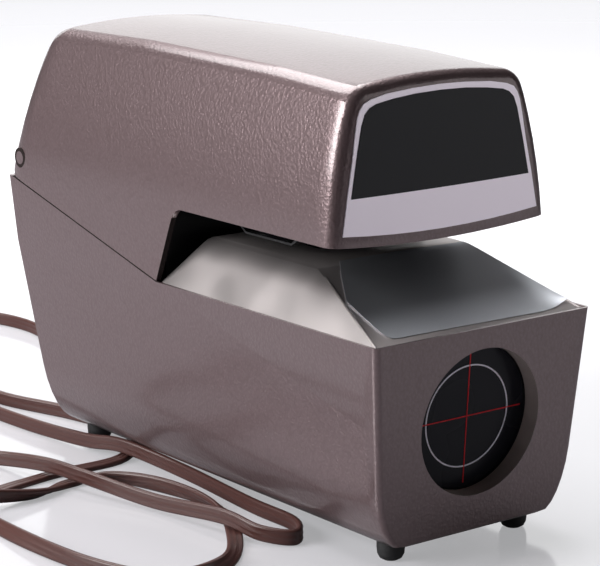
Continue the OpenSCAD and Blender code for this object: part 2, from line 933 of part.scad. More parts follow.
module clock_motor() {
    color([0.3, 0.3, 0.32])
    difference() {
        union() {
            rod_x(plate_in - motor_l, plate_in, motor_y, motor_z, motor_r, 48);
            slab([plate_in - 1.5, plate_in], [motor_y - motor_r - 4, motor_y + motor_r + 4],
                [motor_z - 5, motor_z + 5]);
        }
        rod_x(plate_in - 9, plate_in + 5, motor_y, motor_z, shaft_r + fit);
    }
}

// The ribbon spools; each turns on its own post
module spool(side) {
    x = side * spool_x;
    front = spool_back - spool_w;
    color([0.16, 0.16, 0.17])
    difference() {
        union() {
            rod_y(front, front + 1, x, spool_z, spool_r, 40);
            rod_y(spool_back - 1, spool_back, x, spool_z, spool_r, 40);
            rod_y(front, spool_back, x, spool_z, side > 0 ? pack_r - 1.5 : pack_r);
        }
        rod_y(-big, big, x, spool_z, post_r + fit);
        rod_y(front - 5, front + 4, x, spool_z, core_r - 1);
    }
}

module spool_left() {
    spool(-1);
}

module spool_right() {
    spool(1);
}

module spool_carrier() {
    color([0.6, 0.6, 0.62])
    union() {
        slab([-spool_x - 5, spool_x + 5], [spool_back + 1, spool_back + 4], [bar_z, bar_z + 5]);
        both_sides() {
            slab([spool_x - 4, spool_x + 5], [spool_back + 1, spool_back + 4], [spool_z - 4, bar_z + 1]);
            rod_y(spool_back - spool_w + 4.5, spool_back + 2, spool_x, spool_z, post_r);
            hull() {
                rod_y(spool_back + 1, spool_back + 4, spool_x, spool_z - 2, 3, 24);
                rod_y(spool_back + 1, spool_back + 4, roller_x, roller_z, 3, 24);
            }
            rod_y(spool_back - spool_w, spool_back + 2, roller_x, roller_z, 1.2, 16);
        }
    }
}

// The inked band runs from one spool under the two rollers to the other
function band_side(x, r) = concat([[x, spool_z]],
    [for (a = [180 : 22.5 : 270]) [r * cos(a) - roller_x, r * sin(a) + roller_z]]);
function mirrored(points) = [for (p = points) [-p[0], p[1]]];
function backwards(points) = [for (i = [len(points) - 1 : -1 : 0]) points[i]];

module ribbon() {
    near = roller_r + 0.05;
    far = near + ribbon_t;
    left = pack_r + 0.35 - spool_x;
    right = pack_r - 1.15 - spool_x;
    color([0.2, 0.1, 0.25])
    lengthwise(axle_y - ribbon_w / 2, axle_y + ribbon_w / 2)
        polygon(concat(
            band_side(left, far), mirrored(backwards(band_side(right, far))),
            mirrored(band_side(right + ribbon_t, near)), backwards(band_side(left + ribbon_t, near))
        ));
}

module ribbon_rollers() {
    color([0.75, 0.75, 0.75])
    both_sides()
        difference() {
            rod_y(axle_y - ribbon_w / 2 - 0.5, axle_y + ribbon_w / 2 + 0.5, roller_x, roller_z,
                roller_r, 24);
            rod_y(-big, big, roller_x, roller_z, 1.2, 16);
        }
}

// What turns about the arm's shaft is drawn level and set back to rest
module at_rest() {
    translate([0, arm_y, arm_z])
        rotate([strike_deg, 0, 0])
            translate([0, -arm_y, -arm_z])
                children();
}

module platen_arm() {
    foot = pad_top - pad_t;
    color([0.5, 0.5, 0.5])
    at_rest()
        difference() {
            union() {
                rod_x(-9, 9, arm_y, arm_z, 8.5);
                across(-6, 6)
                    polygon([
                        [axle_y - 5.5, foot], [axle_y + 5.5, foot], [axle_y + 14, foot - 9],
                        [arm_y + 3, arm_z + 8], [arm_y + 3, arm_z - 7], [arm_y - 6, arm_z - 6],
                        [axle_y, foot - 12], [axle_y - 5.5, foot - 7]
                    ]);
                slab([-pad_w / 2, pad_w / 2], [axle_y - pad_l / 2, axle_y + pad_l / 2], [foot - 3, foot]);
                across(-7.5, 7.5)
                    polygon([
                        [arm_y, arm_z + 6], [arm_y + 9, arm_z + 2.6], [arm_y + 24, arm_z + 2.6],
                        [arm_y + arm_reach, arm_z + 4], [arm_y + arm_reach + 4, arm_z + 2],
                        [arm_y + arm_reach + 4, arm_z - 3],
                        [arm_y + arm_reach, arm_z - 4], [arm_y, arm_z - 8]
                    ]);
            }
            rod_x(-big, big, arm_y, arm_z, arm_r + fit);
            slab([-4.2, 4.2], [arm_y + arm_reach - 10, big], [0, big]);
            rod_x(-big, big, arm_y + arm_reach, arm_z, link_r + link_slack, 24);
        }
}

module platen_pad() {
    color([0.15, 0.15, 0.15])
    at_rest()
        slab([-pad_w / 2, pad_w / 2], [axle_y - pad_l / 2, axle_y + pad_l / 2],
            [pad_top - pad_t, pad_top]);
}

module arm_shaft() {
    color([0.75, 0.75, 0.75])
    union() {
        rod_x(-plate_out, plate_out, arm_y, arm_z, arm_r);
        both_sides() {
            rod_x(plate_out, plate_out + 1.5, arm_y, arm_z, arm_r + 1.5);
            rod_x(9.4, 12, arm_y, arm_z, arm_r + 2.5);
        }
    }
}

// The solenoid: its plunger pulls the arm's tail down
module plunger() {
    color([0.7, 0.7, 0.72])
    union() {
        rod_y_up(coil_foot + 7.5, collar_z, plunger_r);
        rod_y_up(collar_z, collar_z + 2, 8.5);
        slab([-3.5, 3.5], [coil_y - 3.5, coil_y + 3.5], [collar_z + 1, link_z + 4]);
        rod_x(-8.5, 8.5, coil_y, link_z, link_r, 24);
    }
}

module rod_y_up(z0, z1, r, sides = 32) {
    translate([0, coil_y, z0])
        cylinder(r = r, h = z1 - z0, $fn = sides);
}

module return_spring() {
    rise = collar_z - spring_foot - 2 * wire_r;
    steps = 24;
    path = [
        for (i = [0 : spring_turns * steps])
            let (a = i * 360 / steps)
            [spring_r * cos(a), coil_y + spring_r * sin(a),
                spring_foot + wire_r + rise * i / (spring_turns * steps), 0]
    ];
    echo(least_gap_in_spring_mm = rise / spring_turns - 2 * wire_r);
    color([0.75, 0.75, 0.75])
    tube(path, [for (a = [0 : 60 : 300]) wire_r * [cos(a), sin(a)]]);
}

module solenoid_frame() {
    yoke_back = coil_y + yoke_half + steel_t;
    color([0.65, 0.65, 0.66])
    difference() {
        union() {
            slab([-plate_in, plate_in], [coil_y - yoke_half, yoke_back], [coil_foot - steel_t, coil_foot]);
            slab([-plate_in, plate_in], [coil_y - yoke_half, yoke_back], [coil_top, spring_foot]);
            slab([-plate_in, plate_in], [coil_y + yoke_half, yoke_back], [coil_foot - 1, coil_top + 1]);
        }
        rod_y_up(coil_top - 5, coil_top + 10, plunger_r + fit);
    }
}

module solenoid_coil() {
    color([0.5, 0.22, 0.1])
    difference() {
        union() {
            rod_y_up(coil_foot, coil_top, coil_r - 1, 40);
            rod_y_up(coil_foot, coil_foot + 1.5, coil_r + 1, 40);
            rod_y_up(coil_top - 1.5, coil_top, coil_r + 1, 40);
        }
        rod_y_up(0, big, plunger_r + 0.4);
    }
}

// The trigger that the paper's edge pushes back, and the switch it reaches
module paper_trigger() {
    color([0.7, 0.7, 0.7])
    difference() {
        union() {
            rod_x(trigger_x - 1.5, trigger_x + 3, trigger_y, trigger_z, 4, 24);
            across(trigger_x - 1.5, trigger_x + 1.5)
                polygon([
                    [trigger_y - 2, trigger_z], [trigger_y - 2, deck_z + 5],
                    [trigger_y - 3.5, deck_z + 8], [trigger_y - 1.5, deck_z + 8.6],
                    [trigger_y + 1.5, deck_z + 5], [trigger_y + 2, trigger_z],
                    [trigger_y + 1, trigger_z - 16], [trigger_y - 2, trigger_z - 16]
                ]);
        }
        rod_x(-big, big, trigger_y, trigger_z, trigger_r + fit, 24);
    }
}

module trigger_pin() {
    color([0.75, 0.75, 0.75])
    union() {
        rod_x(trigger_x - 1.9, plate_out + 1, trigger_y, trigger_z, trigger_r, 24);
        rod_x(trigger_x - 3, trigger_x - 1.9, trigger_y, trigger_z, trigger_r + 1.2, 24);
        rod_x(trigger_x + 3.3, plate_in, trigger_y, trigger_z, trigger_r + 1.2, 24);
    }
}

module trigger_switch() {
    color([0.1, 0.1, 0.1])
    union() {
        slab([trigger_x - 3, plate_in], [trigger_y - 21, trigger_y - 7], [trigger_z - 24, trigger_z - 9]);
        rod_y(trigger_y - 8, trigger_y - 5.4, trigger_x, trigger_z - 14, 1.4, 16);
    }
}

// The indicator: a disc that turns behind the round window, and its small motor
module indicator_disc() {
    color([0.13, 0.13, 0.14])
    on_front(window_z)
        union() {
            rod_y(disc_depth, disc_depth + disc_t, 0, 0, disc_r, 96);
            rod_y(disc_depth + 1, collar_depth + 8, 0, 0, spindle_r);
        }
}

module indicator_plate() {
    color([0.6, 0.6, 0.62])
    on_front(window_z)
        difference() {
            rod_y(collar_depth, collar_depth + 2, 0, 0, window_d / 2 + collar_w, 64);
            rod_y(0, big, 0, 0, spindle_r + fit);
        }
}

module indicator_motor() {
    color([0.3, 0.3, 0.32])
    on_front(window_z)
        difference() {
            union() {
                rod_y(collar_depth + 2, collar_depth + 20, 0, 0, 17, 40);
                rod_y(collar_depth + 2, collar_depth + 4, 0, 0, 20, 40);
            }
            rod_y(collar_depth - 5, collar_depth + 9, 0, 0, spindle_r + fit);
        }
}

module control_board() {
    x = -plate_out - 8;
    y = arm_y + 4;
    z = under_z + 24;
    color([0.3, 0.22, 0.1])
    union() {
        slab([x - 1.6, x], [y, y + 78], [z, z + 56]);
        for (dy = [5, 73], dz = [5, 51])
            rod_x(x - 1, -plate_out, y + dy, z + dz, 2.5, 16);
        slab([x - 17, x - 1], [y + 8, y + 30], [z + 8, z + 26]);
        rod_x(x - 18, x - 1, y + 48, z + 18, 8, 24);
        slab([x - 12, x - 1], [y + 10, y + 66], [z + 38, z + 48]);
    }
}

// The mains cord: relief, cord and plug
module strain_relief() {
    color([0.1, 0.1, 0.1])
    on_back(relief_x, relief_z)
        union() {
            rod_y(-wall - 3, 1, 0, 0, 6.5);
            rod_y(0, 2.5, 0, 0, 8.5);
            translate([0, 2, 0])
                rotate([-90, 0, 0])
                    cylinder(r1 = 6.2, r2 = 5, h = relief_l - 2.3, $fn = 32);
        }
}

module power_cord() {
    reach = (cord_w - cord_t) / 2;
    section = [
        for (i = [0 : cord_sides - 1])
            let (a = (i + 0.5) * 360 / cord_sides)
            [reach * sign(cos(a)) + cord_t / 2 * cos(a), cord_t / 2 * sin(a)]
    ];
    path = smooth(concat(cord_start, cord_route), 2);
    lengths = [for (i = [1 : len(path) - 1]) norm(spot(path[i]) - spot(path[i - 1]))];
    echo(cord_length_mm = lengths * [for (l = lengths) 1]);
    color([0.35, 0.23, 0.21])
    tube(path, section);
}

module plug_body() {
    color([0.35, 0.23, 0.21])
    translate([cord_end[0], cord_end[1], cord_end[2]])
        hull() {
            rod_y(0, 1, 0, 0, 5.2, 24);
            slab([-plug_w / 2 + 3, plug_w / 2 - 3], [12, plug_l], [-plug_h / 2, plug_h / 2]);
            slab([-plug_w / 2, plug_w / 2], [12, plug_l], [-plug_h / 2 + 3, plug_h / 2 - 3]);
        }
}

module plug_pins() {
    front = cord_end[1] + plug_l;
    color([0.8, 0.7, 0.4])
    translate([cord_end[0], 0, cord_end[2]]) {
        both_sides()
            slab([5.6, 7.1], [front, front + 16], [-0.2, 6.1]);
        rod_y(front, front + 19, 0, -6.5, 2.3, 24);
    }
}

base_case();
bottom_plate();
case_screws();
rubber_feet();
deck_plate();
foil_label();
cover();
front_plate();
front_panel();
hinge_bushes();
hinge_pins();
hinge_bracket();
lock_barrel();
lock_cam();
latch_bracket();
side_plate_left();
side_plate_right();
tie_rods();
frame_screws();
ribbon_guard();
paper_stop();
type_axle();
minute_wheel();
minute_gear();
hour_wheel();
day_wheel();
month_wheel();
year_wheel();
idler_gear();
idler_stud();
clock_motor();
motor_pinion();
spool_left();
spool_right();
spool_carrier();
ribbon();
ribbon_rollers();
platen_arm();
platen_pad();
arm_shaft();
plunger();
return_spring();
solenoid_frame();
solenoid_coil();
paper_trigger();
trigger_pin();
trigger_switch();
indicator_disc();
indicator_plate();
indicator_motor();
control_board();
strain_relief();
power_cord();
plug_body();
plug_pins();
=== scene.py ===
import logging
import math
import random
from collections.abc import Iterator, Sequence
from contextlib import contextmanager
from dataclasses import dataclass
from enum import Enum

import bmesh
import bpy
from bpy.types import ID, Material, Mesh, Node, NodeTree, Object
from mathutils import Matrix, Vector
from mathutils.bvhtree import BVHTree


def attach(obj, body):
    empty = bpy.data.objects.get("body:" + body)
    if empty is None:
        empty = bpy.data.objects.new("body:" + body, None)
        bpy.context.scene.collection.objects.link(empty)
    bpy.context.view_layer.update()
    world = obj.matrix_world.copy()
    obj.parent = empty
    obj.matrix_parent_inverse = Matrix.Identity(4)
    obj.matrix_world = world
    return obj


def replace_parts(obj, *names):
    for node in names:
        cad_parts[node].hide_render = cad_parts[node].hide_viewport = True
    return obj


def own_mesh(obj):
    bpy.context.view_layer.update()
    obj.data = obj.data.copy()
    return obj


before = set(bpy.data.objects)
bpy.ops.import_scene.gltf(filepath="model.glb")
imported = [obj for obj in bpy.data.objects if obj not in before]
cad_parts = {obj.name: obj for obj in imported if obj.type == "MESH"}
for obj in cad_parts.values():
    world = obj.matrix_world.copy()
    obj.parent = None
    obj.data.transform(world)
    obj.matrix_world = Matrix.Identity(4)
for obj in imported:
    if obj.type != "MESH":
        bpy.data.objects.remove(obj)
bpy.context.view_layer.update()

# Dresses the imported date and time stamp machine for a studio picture.
#
# The CAD nodes stay where they are. The camera, the cord, the finishes, and the pieces that
# replace or dress a node are made here, all in metres in the shared frame: X to the right
# seen from the front, Y to the back, Z up.

LOG = logging.getLogger("scene")
MM = 0.001
# The photograph's size, which the camera's focal length counts in
IMAGE_WIDTH = 600
# The front of the base: its place and height at the rim, and how it leans in below
FRONT_Y = -0.154
RIM_Z = 0.106
FRONT_LEAN = 0.077
# Vertices this near a cutting plane count as on it
CUT_REACH = 0.00001

Point = tuple[float, float, float]
Colour = tuple[float, float, float]
Spot = tuple[float, float]
RoutePoint = tuple[float, float, float, float]
Cut = tuple[Vector, Vector]
Wire = tuple[Node, str | int, Node, str | int]


class Grain(Enum):
    """The surface texture of a finish."""

    HAMMER = "hammer"
    BRUSHED = "brushed"
    MOULDED = "moulded"


# ---- node groups


def add(tree: NodeTree, kind: str, values: dict | None = None) -> Node:
    """Adds a shader node.

    Args:
        tree: The tree that it goes into.
        kind: Its type, without the leading ShaderNode.
        values: Inputs by name or number, and their values.

    Returns:
        The node.
    """
    node = tree.nodes.new(f"ShaderNode{kind}")
    fill(node, values or {})
    return node


def fill(node: Node, values: dict) -> None:
    """Sets the values of a node's inputs.

    Args:
        node: The node.
        values: Inputs by name or number, and their values.
    """
    for key, value in values.items():
        node.inputs[key].default_value = value


def wire(tree: NodeTree, *lines: Wire) -> None:
    """Links nodes.

    Args:
        tree: The tree that holds them.
        lines: The links, each a node and its output, then a node and its input.
    """
    for start, output, end, entry in lines:
        tree.links.new(start.outputs[output], end.inputs[entry])


class Groups:
    """Builds the shared shader node groups, each once."""

    def __init__(self) -> None:
        """Starts with no groups made."""
        self.made: dict[str, NodeTree] = {}

    def tree(
        self, name: str, inputs: dict[str, float], outputs: dict[str, str]
    ) -> tuple[NodeTree, Node, Node]:
        """Makes an empty group with named sockets.

        Args:
            name: The group's name.
            inputs: Float inputs and their defaults.
            outputs: Output names and their socket types.

        Returns:
            The group, its input node and its output node.
        """
        group = bpy.data.node_groups.new(name, "ShaderNodeTree")
        for key, value in inputs.items():
            socket = group.interface.new_socket(
                name=key, in_out="INPUT", socket_type="NodeSocketFloat"
            )
            socket.default_value = value
        for key, kind in outputs.items():
            group.interface.new_socket(name=key, in_out="OUTPUT", socket_type=kind)
        self.made[name] = group
        return group, group.nodes.new("NodeGroupInput"), group.nodes.new("NodeGroupOutput")

    def hammer(self) -> NodeTree:
        """Returns the hammertone group: dimples as a normal, and a mask of their rims."""
        if "hammertone" in self.made:
            return self.made["hammertone"]
        group, start, end = self.tree(
            "hammertone",
            {"Scale": 700.0, "Depth": 0.5},
            {"Normal": "NodeSocketVector", "Mask": "NodeSocketFloat"},
        )
        coords = add(group, "TexCoord")
        warp = add(group, "TexNoise", {"Scale": 400.0, "Detail": 2.0})
        warp_reach = 0.002
        shift = add(group, "VectorMath", {1: (warp_reach, warp_reach, warp_reach)})
        shift.operation = "MULTIPLY_ADD"
        cells = add(group, "TexVoronoi")
        cells.feature = "SMOOTH_F1"
        fill(cells, {"Smoothness": 0.6})
        swell = add(group, "TexNoise", {"Scale": 55.0, "Detail": 1.0})
        wave = add(group, "Bump", {"Distance": 0.0004, "Strength": 0.25})
        bump = add(group, "Bump", {"Distance": 0.0003})
        wire(
            group,
            (coords, "Object", warp, "Vector"), (warp, "Color", shift, 0),
            (coords, "Object", shift, 2), (shift, 0, cells, "Vector"),
            (start, "Scale", cells, "Scale"), (start, "Depth", bump, "Strength"),
            (cells, "Distance", bump, "Height"), (coords, "Object", swell, "Vector"),
            (swell, "Fac", wave, "Height"), (wave, "Normal", bump, "Normal"),
            (bump, "Normal", end, "Normal"), (cells, "Distance", end, "Mask"),
        )
        return group

    def noise(self) -> NodeTree:
        """Returns the uneven group: a soft noise as a normal and a mask, stretched on request."""
        if "uneven" in self.made:
            return self.made["uneven"]
        group, start, end = self.tree(
            "uneven",
            {"Scale": 300.0, "Stretch X": 1.0, "Stretch Y": 1.0, "Stretch Z": 1.0,
             "Detail": 3.0, "Depth": 0.2, "Reach": 0.0003},
            {"Normal": "NodeSocketVector", "Mask": "NodeSocketFloat"},
        )
        coords = add(group, "TexCoord")
        factor = add(group, "CombineXYZ")
        stretch = add(group, "VectorMath")
        stretch.operation = "MULTIPLY"
        noise = add(group, "TexNoise")
        bump = add(group, "Bump")
        wire(
            group,
            *((start, f"Stretch {axis}", factor, axis) for axis in "XYZ"),
            (coords, "Object", stretch, 0), (factor, 0, stretch, 1),
            (stretch, 0, noise, "Vector"), (start, "Scale", noise, "Scale"),
            (start, "Detail", noise, "Detail"), (start, "Reach", bump, "Distance"),
            (start, "Depth", bump, "Strength"), (noise, "Fac", bump, "Height"),
            (bump, "Normal", end, "Normal"), (noise, "Fac", end, "Mask"),
        )
        return group


GROUPS = Groups()
# How far the noise of brushed metal is stretched
BRUSH_STRETCH = {"Stretch Y": 30.0, "Stretch Z": 30.0}


@dataclass(frozen=True)
class Finish:
    """A finish: its colour, its gloss and its grain.

    Attributes:
        name: The material's name.
        colour: Linear base colour.
        rough: Roughness of the main layer.
        metal: Metallic share.
        coat: Weight of a clear coat.
        coat_rough: Roughness of that coat.
        grain: The surface texture.
        scale: Size of the texture, larger is finer.
        depth: Strength of the texture; without it there is none.
        second: A second colour that the texture mixes in.
        specular: The shader's specular level.
        smudge: How much a cloudy film adds to the roughness.
    """

    name: str
    colour: Colour
    rough: float = 0.5
    metal: float = 0.0
    coat: float = 0.0
    coat_rough: float = 0.1
    grain: Grain = Grain.MOULDED
    scale: float = 300.0
    depth: float = 0.0
    second: Colour | None = None
    specular: float = 0.5
    smudge: float = 0.0

    def material(self) -> Material:
        """Returns the material, made on first use."""
        known = bpy.data.materials.get(f"fin_{self.name}")
        if known:
            return known
        made = bpy.data.materials.new(f"fin_{self.name}")
        made.use_nodes = True
        tree = made.node_tree
        shader = tree.nodes["Principled BSDF"]
        fill(shader, {
            "Base Color": (*self.colour, 1.0), "Roughness": self.rough, "Metallic": self.metal,
            "Coat Weight": self.coat, "Coat Roughness": self.coat_rough,
            "Specular IOR Level": self.specular,
        })
        if self.smudge:
            film = add(tree, "Group")
            film.node_tree = GROUPS.noise()
            fill(film, {"Scale": 30.0, "Detail": 1.5})
            spread = add(tree, "MapRange", {
                "From Min": 0.2, "From Max": 0.8,
                "To Min": self.rough, "To Max": self.rough + self.smudge,
            })
            wire(tree, (film, "Mask", spread, "Value"), (spread, "Result", shader, "Roughness"))
        if not self.depth:
            return made
        texture = add(tree, "Group")
        if self.grain is Grain.HAMMER:
            texture.node_tree = GROUPS.hammer()
        else:
            texture.node_tree = GROUPS.noise()
            if self.grain is Grain.BRUSHED:
                fill(texture, BRUSH_STRETCH)
        fill(texture, {"Scale": self.scale, "Depth": self.depth})
        wire(tree, (texture, "Normal", shader, "Normal"))
        if self.second:
            mix = add(tree, "Mix")
            mix.data_type = "RGBA"
            fill(mix, {6: (*self.colour, 1.0), 7: (*self.second, 1.0)})
            wire(tree, (texture, "Mask", mix, 0), (mix, 2, shader, "Base Color"))
        return made


CASE = Finish(
    "case", (0.195, 0.137, 0.144), 0.36, 0.5, 0.8, 0.14, Grain.HAMMER, 620.0, 0.5,
    (0.16, 0.11, 0.112),
)
STAINLESS = Finish(
    "stainless", (0.64, 0.585, 0.58), 0.25, 0.88,
    grain=Grain.BRUSHED, scale=60.0, depth=0.02, smudge=0.2,
)
FOIL = Finish("foil", (0.7, 0.72, 0.77), 0.34, 0.92, scale=40.0, depth=0.06, smudge=0.1)
PLATE = Finish("plate", (0.9, 0.82, 0.91), 0.34, 0.75, scale=900.0, depth=0.03)
PANEL = Finish("panel", (0.018, 0.018, 0.023), 0.32, specular=0.25)
RUBBER = Finish("rubber", (0.018, 0.018, 0.019), 0.6, scale=500.0, depth=0.1)
STEEL = Finish("steel", (0.55, 0.55, 0.57), 0.3, 1.0)
SHEET = Finish("sheet", (0.4, 0.4, 0.42), 0.42, 1.0, grain=Grain.BRUSHED, scale=80.0, depth=0.08)
BLACK = Finish("black", (0.012, 0.012, 0.013), 0.45)
GLOSS = Finish("gloss", (0.016, 0.016, 0.021), 0.2, specular=0.12, smudge=0.15)
# The bore's paint, much paler than the case paint: a painted light for the light that reaches into
# the window's bore.
BORE_WITH_PAINTED_LIGHT = Finish("bore", (0.5, 0.42, 0.39), 0.6, specular=0.3, scale=700.0, depth=0.25)
# Near black: the hinge bushes' own colour, and a painted shade along the gap between base and
# cover.
SEAM_SHADE_AND_BUSH_BLACK = Finish("seam", (0.02, 0.013, 0.012), 0.8, specular=0.2, scale=400.0, depth=0.2)
# Pale flakes: bare paint chips on the window's rim, and a painted highlight along the rim of the
# cover's throat.
CHIP_AND_EDGE_GLINT = Finish("chip_and_edge_glint", (0.95, 0.92, 0.9), 0.4, 0.15, scale=900.0, depth=0.4)
BRASS = Finish("brass", (0.6, 0.42, 0.18), 0.32, 1.0)
IRON = Finish("iron", (0.12, 0.12, 0.125), 0.55, 0.8, scale=260.0, depth=0.3)
CHROME = Finish("chrome", (0.75, 0.75, 0.77), 0.1, 1.0)
TAPE = Finish("tape", (0.3, 0.09, 0.03), 0.5)
BOARD = Finish("board", (0.14, 0.07, 0.025), 0.45)
INK = Finish("ink", (0.02, 0.008, 0.04), 0.8, scale=1500.0, depth=0.4)
CORD = Finish("cord", (0.085, 0.035, 0.03), 0.33, scale=220.0, depth=0.06)
RING = Finish("ring", (0.95, 0.9, 1.0), 0.5, smudge=0.1)
RED = Finish("red", (0.75, 0.012, 0.02), 0.5, specular=0.3, smudge=0.1)

NODE_FINISH: dict[Finish, tuple[str, ...]] = {
    SHEET: (
        "bottom_plate", "hinge_bracket", "latch_bracket", "side_plate_left",
        "side_plate_right", "spool_carrier", "solenoid_frame", "indicator_plate",
    ),
    STEEL: (
        "case_screws", "tie_rods", "frame_screws", "type_axle", "idler_stud",
        "ribbon_rollers", "arm_shaft", "plunger", "return_spring", "trigger_pin",
        "lock_cam", "paper_trigger",
    ),
    RUBBER: ("rubber_feet", "platen_pad", "strain_relief"),
    BLACK: (
        "ribbon_guard", "paper_stop", "spool_left", "spool_right",
        "trigger_switch", "clock_motor", "indicator_motor",
    ),
    BRASS: (
        "minute_wheel", "minute_gear", "hour_wheel", "day_wheel", "month_wheel",
        "year_wheel", "idler_gear", "motor_pinion", "plug_pins",
    ),
    IRON: ("platen_arm",),
    SEAM_SHADE_AND_BUSH_BLACK: ("hinge_bushes",),
    CHROME: ("lock_barrel",),
    TAPE: ("solenoid_coil",),
    BOARD: ("control_board",),
    INK: ("ribbon",),
    CASE: ("hinge_pins",),
    PLATE: ("front_plate",),
    PANEL: ("front_panel",),
    GLOSS: ("indicator_disc",),
    CORD: ("plug_body",),
}


# ---- mesh helpers


def added(name: str, data: ID) -> Object:
    """Adds an object to the scene.

    Args:
        name: Its name.
        data: Its mesh, light or camera.

    Returns:
        The object.
    """
    piece = bpy.data.objects.new(name, data)
    bpy.context.scene.collection.objects.link(piece)
    return piece


def link(name: str, mesh: Mesh, finish: Finish, body: str) -> Object:
    """Makes an object of a mesh, dresses it and lets it ride on a body.

    Args:
        name: The piece's name.
        mesh: Its mesh, in the row frame.
        finish: Its finish.
        body: The CAD body that it rides on.

    Returns:
        The object.
    """
    piece = added(name, mesh)
    mesh.materials.clear()
    mesh.materials.append(finish.material())
    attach(piece, body)
    return piece


@contextmanager
def edited(mesh: Mesh) -> Iterator[bmesh.types.BMesh]:
    """Opens a mesh for editing and writes it back afterwards.

    Args:
        mesh: The mesh.

    Yields:
        Its editable form.
    """
    work = bmesh.new()
    work.from_mesh(mesh)
    yield work
    work.to_mesh(mesh)
    work.free()


def smooth(mesh: Mesh, degrees: float) -> None:
    """Shades a mesh smooth except over edges sharper than an angle.

    Args:
        mesh: The mesh to shade.
        degrees: The angle.
    """
    limit = math.radians(degrees)
    with edited(mesh) as work:
        for face in work.faces:
            face.smooth = True
        for edge in work.edges:
            edge.smooth = len(edge.link_faces) == 2 and edge.calc_face_angle(0.0) < limit


def dressed_copy(
    node: str, name: str, finish: Finish, body: str,
    bevel: float = 0.0004, angle: float = 32.0, weigh: bool = True,
    cuts: Sequence[Cut] = (),
) -> Object:
    """Replaces a CAD node by a copy with joined vertices and softened edges.

    Args:
        node: The CAD node.
        name: The piece's name.
        finish: Its finish.
        body: The CAD body.
        bevel: Width of the softened edges, in metres.
        angle: Edges sharper than this, in degrees, are softened.
        weigh: Whether large faces set the normals of the softened edges beside them.
        cuts: Planes that part its faces, each a point and a normal.

    Returns:
        The piece.
    """
    join_reach, flat_angle = 0.00002, 1.0
    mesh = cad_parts[node].data.copy()
    with edited(mesh) as work:
        bmesh.ops.remove_doubles(work, verts=work.verts, dist=join_reach)
        bmesh.ops.dissolve_limit(
            work, angle_limit=math.radians(flat_angle), verts=work.verts, edges=work.edges
        )
    piece = link(name, mesh, finish, body)
    soften = piece.modifiers.new("soften", "BEVEL")
    soften.width = bevel
    soften.segments = 4
    soften.limit_method = "ANGLE"
    soften.angle_limit = math.radians(angle)
    soften.use_clamp_overlap = True
    apply_modifiers(piece)
    part_faces(piece.data, cuts)
    smooth(piece.data, angle)
    if weigh:
        weighed = piece.modifiers.new("weighed", "WEIGHTED_NORMAL")
        weighed.weight = 100
        weighed.keep_sharp = True
        apply_modifiers(piece)
    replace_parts(piece, node)
    return piece


def cut_faces(mesh: Mesh, cuts: Sequence[Cut]) -> None:
    """Cuts the faces of a mesh along planes, which leaves its shape as it is.

    Args:
        mesh: The mesh.
        cuts: The planes, each a point and a normal.
    """
    with edited(mesh) as work:
        for place, normal in cuts:
            bmesh.ops.bisect_plane(
                work, geom=work.verts[:] + work.edges[:] + work.faces[:], dist=CUT_REACH,
                plane_co=place, plane_no=normal,
            )


def part_faces(mesh: Mesh, cuts: Sequence[Cut]) -> None:
    """Cuts the faces of a mesh along planes, and leaves its normals as they are too.

    Args:
        mesh: The mesh.
        cuts: The planes, each a point and a normal.
    """
    if not cuts:
        return
    held = mesh.attributes.new("held_normal", "FLOAT_VECTOR", "CORNER")
    for corner, normal in enumerate(mesh.corner_normals):
        held.data[corner].vector = normal.vector
    cut_faces(mesh, cuts)
    held = mesh.attributes["held_normal"]
    mesh.normals_split_custom_set([Vector(value.vector).normalized() for value in held.data])
    mesh.attributes.remove(mesh.attributes["held_normal"])


def mesh_of(name: str, points: Sequence[Vector | Point], faces: list) -> Mesh:
    """Makes a mesh from points and faces.

    Args:
        name: The mesh's name.
        points: Its points.
        faces: Its faces, each a row of point numbers.

    Returns:
        The mesh.
    """
    mesh = bpy.data.meshes.new(name)
    mesh.from_pydata(points, [], faces)
    return mesh


def apply_modifiers(piece: Object) -> None:
    """Applies all modifiers of a piece to its mesh.

    Args:
        piece: The object.
    """
    graph = bpy.context.evaluated_depsgraph_get()
    mesh = bpy.data.meshes.new_from_object(piece.evaluated_get(graph))
    piece.modifiers.clear()
    piece.data = mesh


def tube_mesh(name: str, path: list[Vector], rings: list[list[Vector]]) -> Mesh:
    """Makes a closed tube from rings of points.

    Args:
        name: The mesh's name.
        path: The centre line, one point for each ring.
        rings: The rings, all with the same number of points.

    Returns:
        The mesh.
    """
    count = len(rings[0])
    points = [p for ring in rings for p in ring] + [path[0], path[-1]]
    faces: list[tuple[int, ...]] = []
    for i in range(len(rings) - 1):
        for j in range(count):
            a, b = i * count + j, i * count + (j + 1) % count
            faces.append((a, b, b + count, a + count))
    first, last = len(points) - 2, len(points) - 1
    base = (len(rings) - 1) * count
    for j in range(count):
        k = (j + 1) % count
        faces.append((first, k, j))
        faces.append((last, base + j, base + k))
    mesh = mesh_of(name, points, faces)
    smooth(mesh, 60.0)
    return mesh


# ---- camera, floor and light


@dataclass(frozen=True)
class Lamp:
    """One soft rectangular light.

    Attributes:
        name: The light's name.
        place: Where it stands.
        target: Where it points.
        size: Its width and height.
        watts: Its power.
    """

    name: str
    place: Point
    target: Point
    size: Spot
    watts: float

    def build(self) -> None:
        """Adds the light to the scene."""
        data = bpy.data.lights.new(self.name, "AREA")
        data.shape = "RECTANGLE"
        data.size, data.size_y = self.size
        data.energy = self.watts
        lamp = added(self.name, data)
        place = Vector(self.place)
        lamp.location = place
        lamp.rotation_euler = (Vector(self.target) - place).to_track_quat("-Z", "Y").to_euler()


